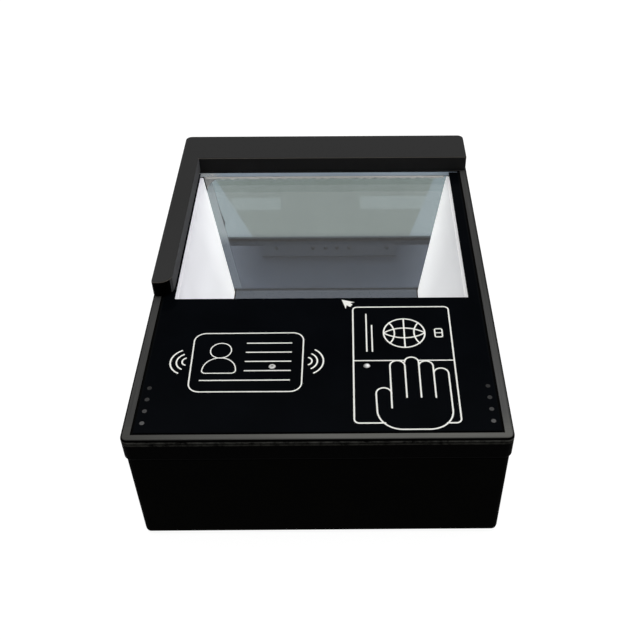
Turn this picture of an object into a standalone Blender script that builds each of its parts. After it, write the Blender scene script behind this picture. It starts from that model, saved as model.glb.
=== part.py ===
"""Desktop passport reader with a glass reading bed, an L-shaped document guide and its inner works.

Metres, +Z up. The front is at -Y, the back with the sockets at +Y, the origin on the counter
under the middle of the case.
"""
import math

import bmesh
import bpy
from mathutils import Matrix, Vector

# Case as a whole
CASE_WIDTH = 0.1493
CASE_DEPTH = 0.2036
RIM_HEIGHT = 0.062
CORNER_RADIUS = 0.003
GAP = 0.0003
OVERRUN = 0.001
CORNER_STEPS = 5
ROUND_SIDES = 16
FINE_SIDES = 24
SMALL_SIDES = 12
HEX_SIDES = 6
DOME_STEPS = 4
SMOOTH_ANGLE = math.radians(35)
EDGE_ANGLE = math.radians(50)

# Lid: rim round the glass, skirt, ledge and deck that carry the glass
RIM_WIDTH = 0.00305
RIM_SIDE_WIDTH = 0.0037
RIM_ROUND = 0.001
RIM_ROUND_STEPS = 3
SKIRT_HEIGHT = 0.0108
SKIRT_TAPER_HEIGHT = 0.0014
LID_WALL = 0.0024
LEDGE_THICKNESS = 0.002
LEDGE_WIDTH = 0.00435
DECK_BEAM = 0.0147
DECK_OPENING_MARGIN = 0.006
DECK_OPENING_SETBACK = 0.0068
LIP_DEPTH = 0.004
SHELF_THICKNESS = 0.0025
LID_BOSS_RADIUS = 0.0035

# Cover glass with its printed front panel and clear window
GLASS_THICKNESS = 0.005
GLASS_SINK = 0.0001
GLASS_JOINT = 0.001
PANEL_DEPTH = 0.0778
FILM_THICKNESS = 0.00025
SEAL_SQUEEZE = 0.0001
SEAL_SINK = 0.0005

# Document guide along the back and the left side
GUIDE_HEIGHT = 0.0085
GUIDE_BACK_DEPTH = 0.0216
GUIDE_SIDE_WIDTH = 0.00895
GUIDE_SIDE_INSET = 0.0003
GUIDE_END_INSET = 0.0007
GUIDE_SETBACK = 0.0015
GUIDE_TIP_INNER_RADIUS = 0.0055
GUIDE_TIP_OUTER_RADIUS = 0.0015
GUIDE_EDGE = 0.0005

# Base tub
FOOT_REACH = 0.0005
BASE_INSET = 0.0007
BASE_WALL = 0.003
FLOOR_THICKNESS = 0.002
BASE_EDGE_RADIUS = 0.003
BASE_EDGE_STEPS = 4
TONGUE_HEIGHT = 0.002
RIB_THICKNESS = 0.0015
RIB_REACH = 0.0033
RIB_HEIGHT = 0.040

# Rubber feet
FOOT_RADIUS = 0.006
FOOT_RECESS = 0.0006
FOOT_INSET_X = 0.01465
FOOT_INSET_Y = 0.020
FOOT_EDGE = 0.0003

# Case screws, from below through the base bosses into the lid bosses
CASE_SCREW_INSET_X = 0.01565
CASE_SCREW_INSET_Y = 0.0088
CASE_SCREW_RADIUS = 0.00145
CASE_SCREW_HEAD_RADIUS = 0.0028
CASE_SCREW_HEAD_HEIGHT = 0.0022
CASE_SCREW_LENGTH = 0.012
BASE_BOSS_RADIUS = 0.0045
BASE_BOSS_HEIGHT = 0.0057
HEAD_POCKET_RADIUS = 0.0033
HEAD_POCKET_DEPTH = 0.0045
SCREW_CLEARANCE = 0.0003

# Screws of the guide, the antenna board, the main board, the mirror bracket and the camera
GUIDE_SCREW_PITCH = 0.040
GUIDE_SCREW_COUNT = 3
GUIDE_SCREW_RADIUS = 0.00125
GUIDE_SCREW_HEAD_RADIUS = 0.0025
GUIDE_SCREW_HEAD_HEIGHT = 0.002
GUIDE_SCREW_LENGTH = 0.0075
SMALL_SCREW_RADIUS = 0.001
SMALL_SCREW_HEAD_RADIUS = 0.0021
SMALL_SCREW_HEAD_HEIGHT = 0.0015
ANTENNA_SCREW_LENGTH = 0.0031
BOARD_SCREW_LENGTH = 0.005
CAMERA_SCREW_LENGTH = 0.005
HEX_SOCKET_DEPTH_SHARE = 0.5

# Optical chamber: translucent side walls, sloping mirror, front bulkhead
WALL_TOP_INSET = 0.0025
WALL_LEAN = math.radians(14.9)
WALL_THICKNESS = 0.0015
MIRROR_ANGLE = math.radians(61.5)
MIRROR_TOP_INSET = 0.0013
MIRROR_THICKNESS = 0.003
MIRROR_CORNER_RADIUS = 0.009
MIRROR_OVERLAP = 0.001
BRACKET_THICKNESS = 0.0012
BRACKET_SIDE_INSET = 0.0005
BRACKET_FLANGE = 0.0095
BRACKET_FLANGE_CLEARANCE = 0.002
BRACKET_SCREW_INSET = 0.006
BRACKET_SCREW_SETBACK = 0.0059
BRACKET_BOSS_HEIGHT = 0.004
SMALL_BOSS_RADIUS = 0.0026
BULKHEAD_THICKNESS = 0.002
CAMERA_OPENING_WIDTH = 0.022
CAMERA_OPENING_BOTTOM = 0.0035
CAMERA_OPENING_HEIGHT = 0.018

# Camera
CAMERA_TILT = math.radians(9.4)
CAMERA_HEIGHT = 0.0175
CAMERA_STANDOFF = 0.0022
BARREL_RADIUS = 0.006
BARREL_LENGTH = 0.008
BARREL_RING_RADIUS = 0.0068
BARREL_RING_LENGTH = 0.002
LENS_RADIUS = 0.0042
LENS_THICKNESS = 0.0016
LENS_SINK = 0.0008
MOUNT_WIDTH = 0.016
MOUNT_DEPTH = 0.008
MOUNT_SETBACK = 0.004
CAMERA_BOARD_WIDTH = 0.034
CAMERA_BOARD_HEIGHT = 0.020
CAMERA_BRACKET_FOOT = 0.008
PEG_SETBACK = 0.0056
CAMERA_SCREW_INSET = 0.0035
PEG_RADIUS = 0.0012
PEG_INSET = 0.0045

# Printed circuit boards and light strips
BOARD_THICKNESS = 0.0016
LED_SIZE = 0.0035
LED_HEIGHT = 0.0012
STRIP_WIDTH = 0.0075
FRONT_STRIP_LENGTH = 0.084
FRONT_STRIP_LAMPS = (-0.0332, -0.0103, -0.0022, 0.0048, 0.0126, 0.0363)
FRONT_LAMP_DROP = 0.002
SIDE_STRIP_MARGIN = 0.0087
SIDE_STRIP_LEDS = 6
SIDE_STRIP_HEIGHT = 0.022
DOME_RADIUS = 0.0015
DOME_HEIGHT = 0.0012

# Indicator lamps at both sides of the front panel
INDICATOR_COUNT = 4
INDICATOR_PITCH = 0.0061
INDICATOR_INSET = 0.00365
INDICATOR_FIRST = 0.0059
PIPE_RADIUS = 0.001
PIPE_BAR_WIDTH = 0.003
PIPE_BAR_HEIGHT = 0.00155
PIPE_BAR_MARGIN = 0.0028
INDICATOR_BOARD_WIDTH = 0.0053
INDICATOR_LED_HEIGHT = 0.0008
INDICATOR_LED_SIZE = 0.0016

# Pair of document sensors in the front panel
SENSOR_HALF_SPAN = 0.0193
SENSOR_PLACE = 0.0362
SENSOR_RADIUS = 0.0015
SENSOR_FLANGE_RADIUS = 0.0019
SENSOR_FLANGE_HEIGHT = 0.001
SENSOR_DOME_HEIGHT = 0.0006
SENSOR_HOLE_CLEARANCE = 0.0002

# Contactless reader: antenna board under the front panel, with its shielded module
ANTENNA_SIDE_MARGIN = 0.0035
ANTENNA_DEPTH = 0.062
ANTENNA_SETBACK = 0.0080
ANTENNA_SCREW_INSET = 0.003
MODULE_WIDTH = 0.030
MODULE_DEPTH = 0.022
MODULE_HEIGHT = 0.0028
MODULE_EDGE = 0.0005
MODULE_FORWARD = 0.012

# Main board behind the mirror
MAIN_BOARD_SIDE_MARGIN = 0.0015
MAIN_BOARD_DEPTH = 0.026
MAIN_BOARD_BACK_GAP = 0.0011
MAIN_BOARD_LIFT = 0.0047
POST_INSET_X = 0.0035
POST_INSET_Y = 0.004
POST_HOLE_DEPTH = 0.0035
CHIP_SIZE = 0.018
CHIP_HEIGHT = 0.0016
CHIP_FROM_USB = 0.0195
HEATSINK_SIZE = 0.022
HEATSINK_BASE = 0.002
HEATSINK_HEIGHT = 0.009
HEATSINK_FINS = 7
HEATSINK_FIN = 0.001
CAPACITOR_RADIUS = 0.003
CAPACITOR_HEIGHT = 0.008
CAPACITORS_FROM_CHIP = (0.0145, 0.0215)
CAPACITOR_INSET = 0.0055
BUZZER_RADIUS = 0.006
BUZZER_HEIGHT = 0.0055
BUZZER_FROM_CHIP = 0.0185
BUZZER_INSET = 0.0112
BUZZER_HOLE_RADIUS = 0.001
PLUG_WIDTH = 0.009
PLUG_DEPTH = 0.004
PLUG_HEIGHT = 0.0014
PLUG_INSET = 0.001
PLUG_FROM_EDGE = 0.0125

# Sockets in the rear wall
SOCKET_SINK = 0.0001
USB_WIDTH = 0.012
USB_HEIGHT = 0.011
USB_LENGTH = 0.0162
USB_FROM_JACK = 0.018
USB_MOUTH_WIDTH = 0.009
USB_MOUTH_HEIGHT = 0.0086
USB_MOUTH_DEPTH = 0.0095
USB_TONGUE_WIDTH = 0.0056
USB_TONGUE_HEIGHT = 0.0032
USB_TONGUE_LENGTH = 0.0085
JACK_WIDTH = 0.009
JACK_HEIGHT = 0.011
JACK_LENGTH = 0.0142
JACK_FROM_EDGE = 0.013
JACK_BORE_RADIUS = 0.0032
JACK_BORE_DEPTH = 0.0095
JACK_PIN_RADIUS = 0.001
JACK_PIN_LENGTH = 0.0085

# Power switch in its recess in the rear wall
SWITCH_FROM_EDGE = 0.015
SWITCH_LIFT = 0.001
SWITCH_POCKET_WIDTH = 0.019
SWITCH_POCKET_HEIGHT = 0.025
SWITCH_POCKET_DEPTH = 0.004
SWITCH_PANEL = 0.0025
SWITCH_FLANGE_WIDTH = 0.015
SWITCH_FLANGE_HEIGHT = 0.021
SWITCH_FLANGE_THICKNESS = 0.0012
SWITCH_BODY_WIDTH = 0.0128
SWITCH_BODY_HEIGHT = 0.019
SWITCH_BODY_LENGTH = 0.0135
SWITCH_WELL_WIDTH = 0.0106
SWITCH_WELL_HEIGHT = 0.017
SWITCH_WELL_DEPTH = 0.0095
BLADE_WIDTH = 0.0048
BLADE_THICKNESS = 0.0008
BLADE_LENGTH = 0.006
BLADE_HALF_PITCH = 0.005
ROCKER_WIDTH = 0.010
ROCKER_HALF_HEIGHT = 0.0072
ROCKER_REACH = 0.005
ROCKER_DIP = 0.0013
ROCKER_SKIRT = 0.0016
ROCKER_BACK = 0.0022
ROCKER_BACK_HALF_HEIGHT = 0.003
ROCKER_TILT = math.radians(10.0)
ROCKER_PIVOT_DEPTH = 0.004
ROCKER_PIN_RADIUS = 0.0012
ROCKER_PIN_LENGTH = 0.0009
ROCKER_PIN_CLEARANCE = 0.00015

# Flat ribbon cables on the floor of the case
RIBBON_WIDTH = 0.007
RIBBON_THICKNESS = 0.0003
RIBBON_CLEARANCE = 0.00235
RIBBON_NOTCH_HEIGHT = 0.003
RIBBON_NOTCH_MARGIN = 0.0015
CAMERA_PLUG_WIDTH = 0.009
CAMERA_PLUG_HEIGHT = 0.0035
CAMERA_PLUG_DEPTH = 0.0018
RIBBON_STAND_OFF = 0.0008

# Places worked out from the sizes above
HALF_WIDTH = CASE_WIDTH / 2
HALF_DEPTH = CASE_DEPTH / 2
LID_BOTTOM = RIM_HEIGHT - SKIRT_HEIGHT - SKIRT_TAPER_HEIGHT
RIM_INNER = HALF_WIDTH - RIM_SIDE_WIDTH
RIM_FRONT = -HALF_DEPTH + RIM_WIDTH
GUIDE_FACE = HALF_DEPTH - GUIDE_BACK_DEPTH
GLASS_TOP = RIM_HEIGHT - GLASS_SINK
GLASS_BOTTOM = GLASS_TOP - GLASS_THICKNESS
FILM_TOP = GLASS_BOTTOM - GAP
LEDGE_TOP = FILM_TOP - FILM_THICKNESS - GAP
LEDGE_BOTTOM = LEDGE_TOP - LEDGE_THICKNESS
LEDGE_INNER = RIM_INNER - LEDGE_WIDTH
WINDOW_FRONT = RIM_FRONT + PANEL_DEPTH
CHAMBER_FRONT = WINDOW_FRONT - GAP
LID_INNER_X = HALF_WIDTH - LID_WALL
LID_INNER_Y = HALF_DEPTH - LID_WALL
SHELF_BOTTOM = RIM_HEIGHT - SHELF_THICKNESS
BASE_TOP = LID_BOTTOM - GAP
BASE_OUTER_X = HALF_WIDTH - BASE_INSET
BASE_OUTER_Y = HALF_DEPTH - BASE_INSET
BASE_INNER_X = BASE_OUTER_X - BASE_WALL
BASE_INNER_Y = BASE_OUTER_Y - BASE_WALL
FLOOR_TOP = FOOT_REACH + FLOOR_THICKNESS
ON_FLOOR = FLOOR_TOP + GAP
MIRROR_TOP_Y = GUIDE_FACE - MIRROR_TOP_INSET
MIRROR_TOP_Z = GLASS_BOTTOM - GAP
CASE_SCREW_X = HALF_WIDTH - CASE_SCREW_INSET_X
CASE_SCREW_Y = HALF_DEPTH - CASE_SCREW_INSET_Y
BOSS_TOP = FLOOR_TOP + BASE_BOSS_HEIGHT
BOARD_BACK = BASE_INNER_Y - MAIN_BOARD_BACK_GAP
BOARD_FRONT = BOARD_BACK - MAIN_BOARD_DEPTH
BOARD_BOTTOM = FLOOR_TOP + MAIN_BOARD_LIFT + GAP
BOARD_TOP = BOARD_BOTTOM + BOARD_THICKNESS
BULKHEAD_BACK = CHAMBER_FRONT
BULKHEAD_FRONT = BULKHEAD_BACK - BULKHEAD_THICKNESS
DECK_BACK = BULKHEAD_BACK
ANTENNA_WIDTH = 2 * (CASE_SCREW_X - LID_BOSS_RADIUS - ANTENNA_SIDE_MARGIN)
DECK_OPENING_HALF = ANTENNA_WIDTH / 2 - DECK_OPENING_MARGIN
DECK_OPENING_BACK = DECK_BACK - DECK_BEAM
DECK_OPENING_FRONT = RIM_FRONT + ANTENNA_SETBACK + DECK_OPENING_SETBACK
WALL_TOP_HALF_WIDTH = LEDGE_INNER - WALL_TOP_INSET
INDICATOR_HALF_SPAN = RIM_INNER - INDICATOR_INSET
WALL_FOOT_LEAN = (GLASS_BOTTOM - ON_FLOOR) * math.tan(WALL_LEAN)
WALL_FOOT = WALL_TOP_HALF_WIDTH - WALL_FOOT_LEAN + WALL_THICKNESS / math.cos(WALL_LEAN)
RIBBON_LANE = WALL_FOOT + RIBBON_CLEARANCE + RIBBON_WIDTH / 2
MAIN_BOARD_WIDTH = 2 * (CASE_SCREW_X - BASE_BOSS_RADIUS - MAIN_BOARD_SIDE_MARGIN)
JACK_PLACE = JACK_FROM_EDGE - MAIN_BOARD_WIDTH / 2
USB_PLACE = JACK_PLACE + USB_FROM_JACK
CHIP_PLACE = USB_PLACE + CHIP_FROM_USB
BUZZER_PLACE = CHIP_PLACE + BUZZER_FROM_CHIP
PLUG_PLACE = MAIN_BOARD_WIDTH / 2 - PLUG_FROM_EDGE
SWITCH_PLACE = MAIN_BOARD_WIDTH / 2 - SWITCH_FROM_EDGE
HEATSINK_TOP = BOARD_TOP + CHIP_HEIGHT + GAP + HEATSINK_HEIGHT
SWITCH_HEIGHT = HEATSINK_TOP + SWITCH_LIFT + SWITCH_BODY_HEIGHT / 2
CAMERA_SCREW_HALF_PITCH = CAMERA_BOARD_WIDTH / 2 - CAMERA_SCREW_INSET
PEG_HALF_PITCH = CAMERA_BOARD_WIDTH / 2 - PEG_INSET
BRACKET_FLANGE_HALF_WIDTH = PLUG_PLACE - PLUG_WIDTH / 2 - BRACKET_FLANGE_CLEARANCE
BRACKET_SCREW_HALF_PITCH = BRACKET_FLANGE_HALF_WIDTH - BRACKET_SCREW_INSET


def clear_scene():
    for old in list(bpy.data.objects):
        bpy.data.objects.remove(old, do_unlink=True)


def make_material(name, colour, roughness, metallic=0.0, transmission=0.0):
    mat = bpy.data.materials.new(name)
    mat.use_nodes = True
    shader = mat.node_tree.nodes["Principled BSDF"]
    shader.inputs["Base Color"].default_value = (*colour, 1.0)
    shader.inputs["Roughness"].default_value = roughness
    shader.inputs["Metallic"].default_value = metallic
    shader.inputs["Transmission Weight"].default_value = transmission
    mat.diffuse_color = (*colour, 1.0)
    return mat


# Shapes are added to one bmesh and then turned into an object

def add_box(shape, low, high):
    """A box between two opposite corners."""
    low, high = Vector(low), Vector(high)
    place = Matrix.Translation((low + high) / 2)
    size = Matrix.Diagonal((*(high - low), 1.0))
    bmesh.ops.create_cube(shape, size=1.0, matrix=place @ size)


def add_round(shape, start, end, radius, sides=ROUND_SIDES):
    """A cylinder from one point to another."""
    start, end = Vector(start), Vector(end)
    turn = (end - start).to_track_quat("Z", "Y").to_matrix().to_4x4()
    place = Matrix.Translation((start + end) / 2) @ turn
    bmesh.ops.create_cone(shape, cap_ends=True, segments=sides, radius1=radius,
                          radius2=radius, depth=(end - start).length, matrix=place)


def add_loft(shape, rings):
    """A closed skin over rings of points, all with the same number of points."""
    loops = [[shape.verts.new(point) for point in ring] for ring in rings]
    for lower, upper in zip(loops, loops[1:]):
        for index in range(len(lower)):
            after = (index + 1) % len(lower)
            shape.faces.new((lower[index], lower[after], upper[after], upper[index]))
    shape.faces.new(list(reversed(loops[0])))
    shape.faces.new(loops[-1])


def add_prism(shape, outline, low, high):
    """An outline in X and Y, drawn anticlockwise, raised from one height to another."""
    add_loft(shape, [[(x, y, z) for x, y in outline] for z in (low, high)])


def add_side_prism(shape, outline, low, high):
    """An outline in Y and Z, drawn anticlockwise seen from +X, swept along X."""
    add_loft(shape, [[(x, y, z) for y, z in outline] for x in (low, high)])


def add_dome(shape, centre, radius, height, axis, sides=ROUND_SIDES):
    """A spherical cap on a round face."""
    axis = Vector(axis).normalized()
    turn = axis.to_track_quat("Z", "Y").to_matrix()
    rings = []
    for step in range(DOME_STEPS):
        angle = math.pi / 2 * step / DOME_STEPS
        ring_radius = radius * math.cos(angle)
        lift = height * math.sin(angle)
        rings.append([Vector(centre) + turn @ Vector((ring_radius * math.cos(math.tau * k / sides),
                                                      ring_radius * math.sin(math.tau * k / sides),
                                                      lift)) for k in range(sides)])
    add_loft(shape, rings)


def circle_points(x, y, radius, height, sides=ROUND_SIDES):
    """A level ring of points."""
    return [(x + radius * math.cos(math.tau * k / sides), y + radius * math.sin(math.tau * k / sides),
             height) for k in range(sides)]


def rounded_rectangle(half_x, half_y, radius, steps=CORNER_STEPS, centre_y=0.0):
    """An anticlockwise rectangle with its corners rounded."""
    points = []
    for quarter, (side_x, side_y) in enumerate(((1, 1), (-1, 1), (-1, -1), (1, -1))):
        for step in range(steps + 1):
            angle = math.pi / 2 * (quarter + step / steps)
            points.append((side_x * (half_x - radius) + radius * math.cos(angle),
                           centre_y + side_y * (half_y - radius) + radius * math.sin(angle)))
    return points


def filleted(corners, steps=CORNER_STEPS):
    """An outline from (x, y, radius) corners, each rounded where its radius isn't zero."""
    points = []
    for index, (x, y, radius) in enumerate(corners):
        corner = Vector((x, y))
        if not radius:
            points.append((x, y))
            continue
        before = (Vector(corners[index - 1][:2]) - corner).normalized()
        after = (Vector(corners[(index + 1) % len(corners)][:2]) - corner).normalized()
        half_angle = before.angle(after) / 2
        centre = corner + (before + after).normalized() * (radius / math.sin(half_angle))
        first = corner + before * (radius / math.tan(half_angle)) - centre
        last = corner + after * (radius / math.tan(half_angle)) - centre
        sweep = first.angle_signed(last)
        for step in range(steps + 1):
            points.append(tuple(centre + Matrix.Rotation(-sweep * step / steps, 2) @ first))
    return points


def make_object(name, shape, mat=None, origin=None, turn=(0.0, 0.0, 0.0), smooth=True):
    """Turn the shape into an object. Its points are given from the origin, before its turn."""
    bmesh.ops.recalc_face_normals(shape, faces=shape.faces)
    mesh = bpy.data.meshes.new(name)
    if origin is None:
        low = Vector([min(vert.co[axis] for vert in shape.verts) for axis in range(3)])
        high = Vector([max(vert.co[axis] for vert in shape.verts) for axis in range(3)])
        origin = (low + high) / 2
        bmesh.ops.translate(shape, verts=shape.verts, vec=-origin)
    shape.to_mesh(mesh)
    shape.free()
    if smooth:
        mesh.shade_smooth()
        mesh.set_sharp_from_angle(angle=SMOOTH_ANGLE)
    obj = bpy.data.objects.new(name, mesh)
    obj.location = origin
    obj.rotation_euler = turn
    if mat is not None:
        mesh.materials.append(mat)
    bpy.context.scene.collection.objects.link(obj)
    return obj


def carve(target, shape, operation="DIFFERENCE"):
    """Cut the shape out of the target, or join it on, with a hidden helper object."""
    name = target.name + "_" + operation.lower() + str(len(target.modifiers))
    helper = make_object(name, shape, smooth=False)
    helper.hide_render = True
    helper.display_type = "WIRE"
    step = target.modifiers.new(name, "BOOLEAN")
    step.operation = operation
    step.solver = "EXACT"
    step.object = helper
    return helper


def soften(target, width, segments=2):
    """Round the edges of a moulded piece."""
    step = target.modifiers.new("edge", "BEVEL")
    step.width = width
    step.segments = segments
    step.limit_method = "ANGLE"
    step.angle_limit = EDGE_ANGLE


def corners_of(x, y):
    """The four places at plus and minus x and y, with a name for each."""
    return (("front_left", -x, -y), ("front_right", x, -y), ("back_left", -x, y), ("back_right", x, y))


def wall_inner(height):
    """Half the chamber's width at a height: the side walls lean in towards the floor."""
    return WALL_TOP_HALF_WIDTH - (GLASS_BOTTOM - height) * math.tan(WALL_LEAN)


def mirror_face(height, behind=0.0):
    """Y of the mirror's face at a height, or of a plane parallel to it behind the face."""
    slope = (MIRROR_TOP_Z - height) / math.tan(MIRROR_ANGLE)
    return MIRROR_TOP_Y - slope + behind / math.sin(MIRROR_ANGLE)


def indicator_places():
    """Y of each indicator lamp, from the front."""
    return [RIM_FRONT + INDICATOR_FIRST + INDICATOR_PITCH * k for k in range(INDICATOR_COUNT)]


def guide_screw_places():
    """X of each screw that holds the document guide."""
    first = -GUIDE_SCREW_PITCH * (GUIDE_SCREW_COUNT - 1) / 2
    return [first + GUIDE_SCREW_PITCH * k for k in range(GUIDE_SCREW_COUNT)]


def board_posts():
    """Places of the four posts under the main board."""
    x = MAIN_BOARD_WIDTH / 2 - POST_INSET_X
    return [(side_x * x, y) for y in (BOARD_FRONT + POST_INSET_Y, BOARD_BACK - POST_INSET_Y)
            for side_x in (-1, 1)]


def antenna_centre_y():
    return RIM_FRONT + ANTENNA_SETBACK + ANTENNA_DEPTH / 2


def antenna_screws():
    x = ANTENNA_WIDTH / 2 - ANTENNA_SCREW_INSET
    y = ANTENNA_DEPTH / 2 - ANTENNA_SCREW_INSET
    return [(name, px, antenna_centre_y() + py) for name, px, py in corners_of(x, y)]


def bracket_screw_y():
    plate_back = mirror_face(FLOOR_TOP + BRACKET_BOSS_HEIGHT, MIRROR_THICKNESS + GAP)
    return plate_back + BRACKET_SCREW_SETBACK


def build_lid(plastic):
    """Upper shell: rounded rim, skirt with a tapered lower edge, and the seat of the glass."""
    shape = bmesh.new()
    rings = []
    levels = [(LID_BOTTOM, BASE_INSET), (LID_BOTTOM + SKIRT_TAPER_HEIGHT, 0.0)]
    for step in range(RIM_ROUND_STEPS + 1):
        angle = math.pi / 2 * step / RIM_ROUND_STEPS
        levels.append((RIM_HEIGHT - RIM_ROUND * (1 - math.sin(angle)),
                       RIM_ROUND * (1 - math.cos(angle))))
    for height, inset in levels:
        outline = rounded_rectangle(HALF_WIDTH - inset, HALF_DEPTH - inset, CORNER_RADIUS - inset)
        rings.append([(x, y, height) for x, y in outline])
    add_loft(shape, rings)
    lid = make_object("top_bezel", shape, plastic)

    under = bmesh.new()
    outline = rounded_rectangle(LID_INNER_X, LID_INNER_Y, CORNER_RADIUS - RIM_ROUND)
    add_prism(under, outline, LID_BOTTOM - OVERRUN, LEDGE_BOTTOM)
    carve(lid, under)

    seat = bmesh.new()
    add_box(seat, (-RIM_INNER, RIM_FRONT, LEDGE_TOP), (RIM_INNER, GUIDE_FACE, RIM_HEIGHT + OVERRUN))
    carve(lid, seat)

    lip_back = GUIDE_FACE + LIP_DEPTH
    window = bmesh.new()
    add_box(window, (-LEDGE_INNER, DECK_BACK, LEDGE_BOTTOM - OVERRUN),
            (LEDGE_INNER, lip_back, GLASS_BOTTOM + GAP))
    carve(lid, window)

    rear = bmesh.new()
    add_box(rear, (-LID_INNER_X, lip_back, LEDGE_BOTTOM - OVERRUN),
            (LID_INNER_X, LID_INNER_Y, SHELF_BOTTOM))
    carve(lid, rear)

    deck = bmesh.new()
    add_box(deck, (-DECK_OPENING_HALF, DECK_OPENING_FRONT, LEDGE_BOTTOM - OVERRUN),
            (DECK_OPENING_HALF, DECK_OPENING_BACK, LEDGE_TOP + OVERRUN))
    carve(lid, deck)

    bosses = bmesh.new()
    for name, x, y in corners_of(CASE_SCREW_X, CASE_SCREW_Y):
        root = (SHELF_BOTTOM if y > 0 else LEDGE_BOTTOM) + LEDGE_THICKNESS / 2
        add_round(bosses, (x, y, BOSS_TOP + GAP), (x, y, root), LID_BOSS_RADIUS)
    carve(lid, bosses, "UNION")

    holes = bmesh.new()
    for name, x, y in corners_of(CASE_SCREW_X, CASE_SCREW_Y):
        tip = FOOT_REACH + HEAD_POCKET_DEPTH + CASE_SCREW_LENGTH + OVERRUN
        add_round(holes, (x, y, BOSS_TOP - OVERRUN), (x, y, tip), CASE_SCREW_RADIUS + SCREW_CLEARANCE)
    for side in (-1, 1):
        for y in indicator_places():
            add_round(holes, (side * INDICATOR_HALF_SPAN, y, LEDGE_BOTTOM - OVERRUN),
                      (side * INDICATOR_HALF_SPAN, y, LEDGE_TOP + OVERRUN), PIPE_RADIUS + GAP,
                      sides=SMALL_SIDES)
    for x in guide_screw_places():
        y = (GUIDE_FACE + LIP_DEPTH + LID_INNER_Y) / 2
        add_round(holes, (x, y, SHELF_BOTTOM - OVERRUN), (x, y, RIM_HEIGHT + OVERRUN),
                  GUIDE_SCREW_RADIUS + SCREW_CLEARANCE)
    for name, x, y in antenna_screws():
        add_round(holes, (x, y, LEDGE_BOTTOM - OVERRUN), (x, y, LEDGE_BOTTOM + ANTENNA_SCREW_LENGTH / 2),
                  SMALL_SCREW_RADIUS + SCREW_CLEARANCE, sides=SMALL_SIDES)
    carve(lid, holes)


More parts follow.
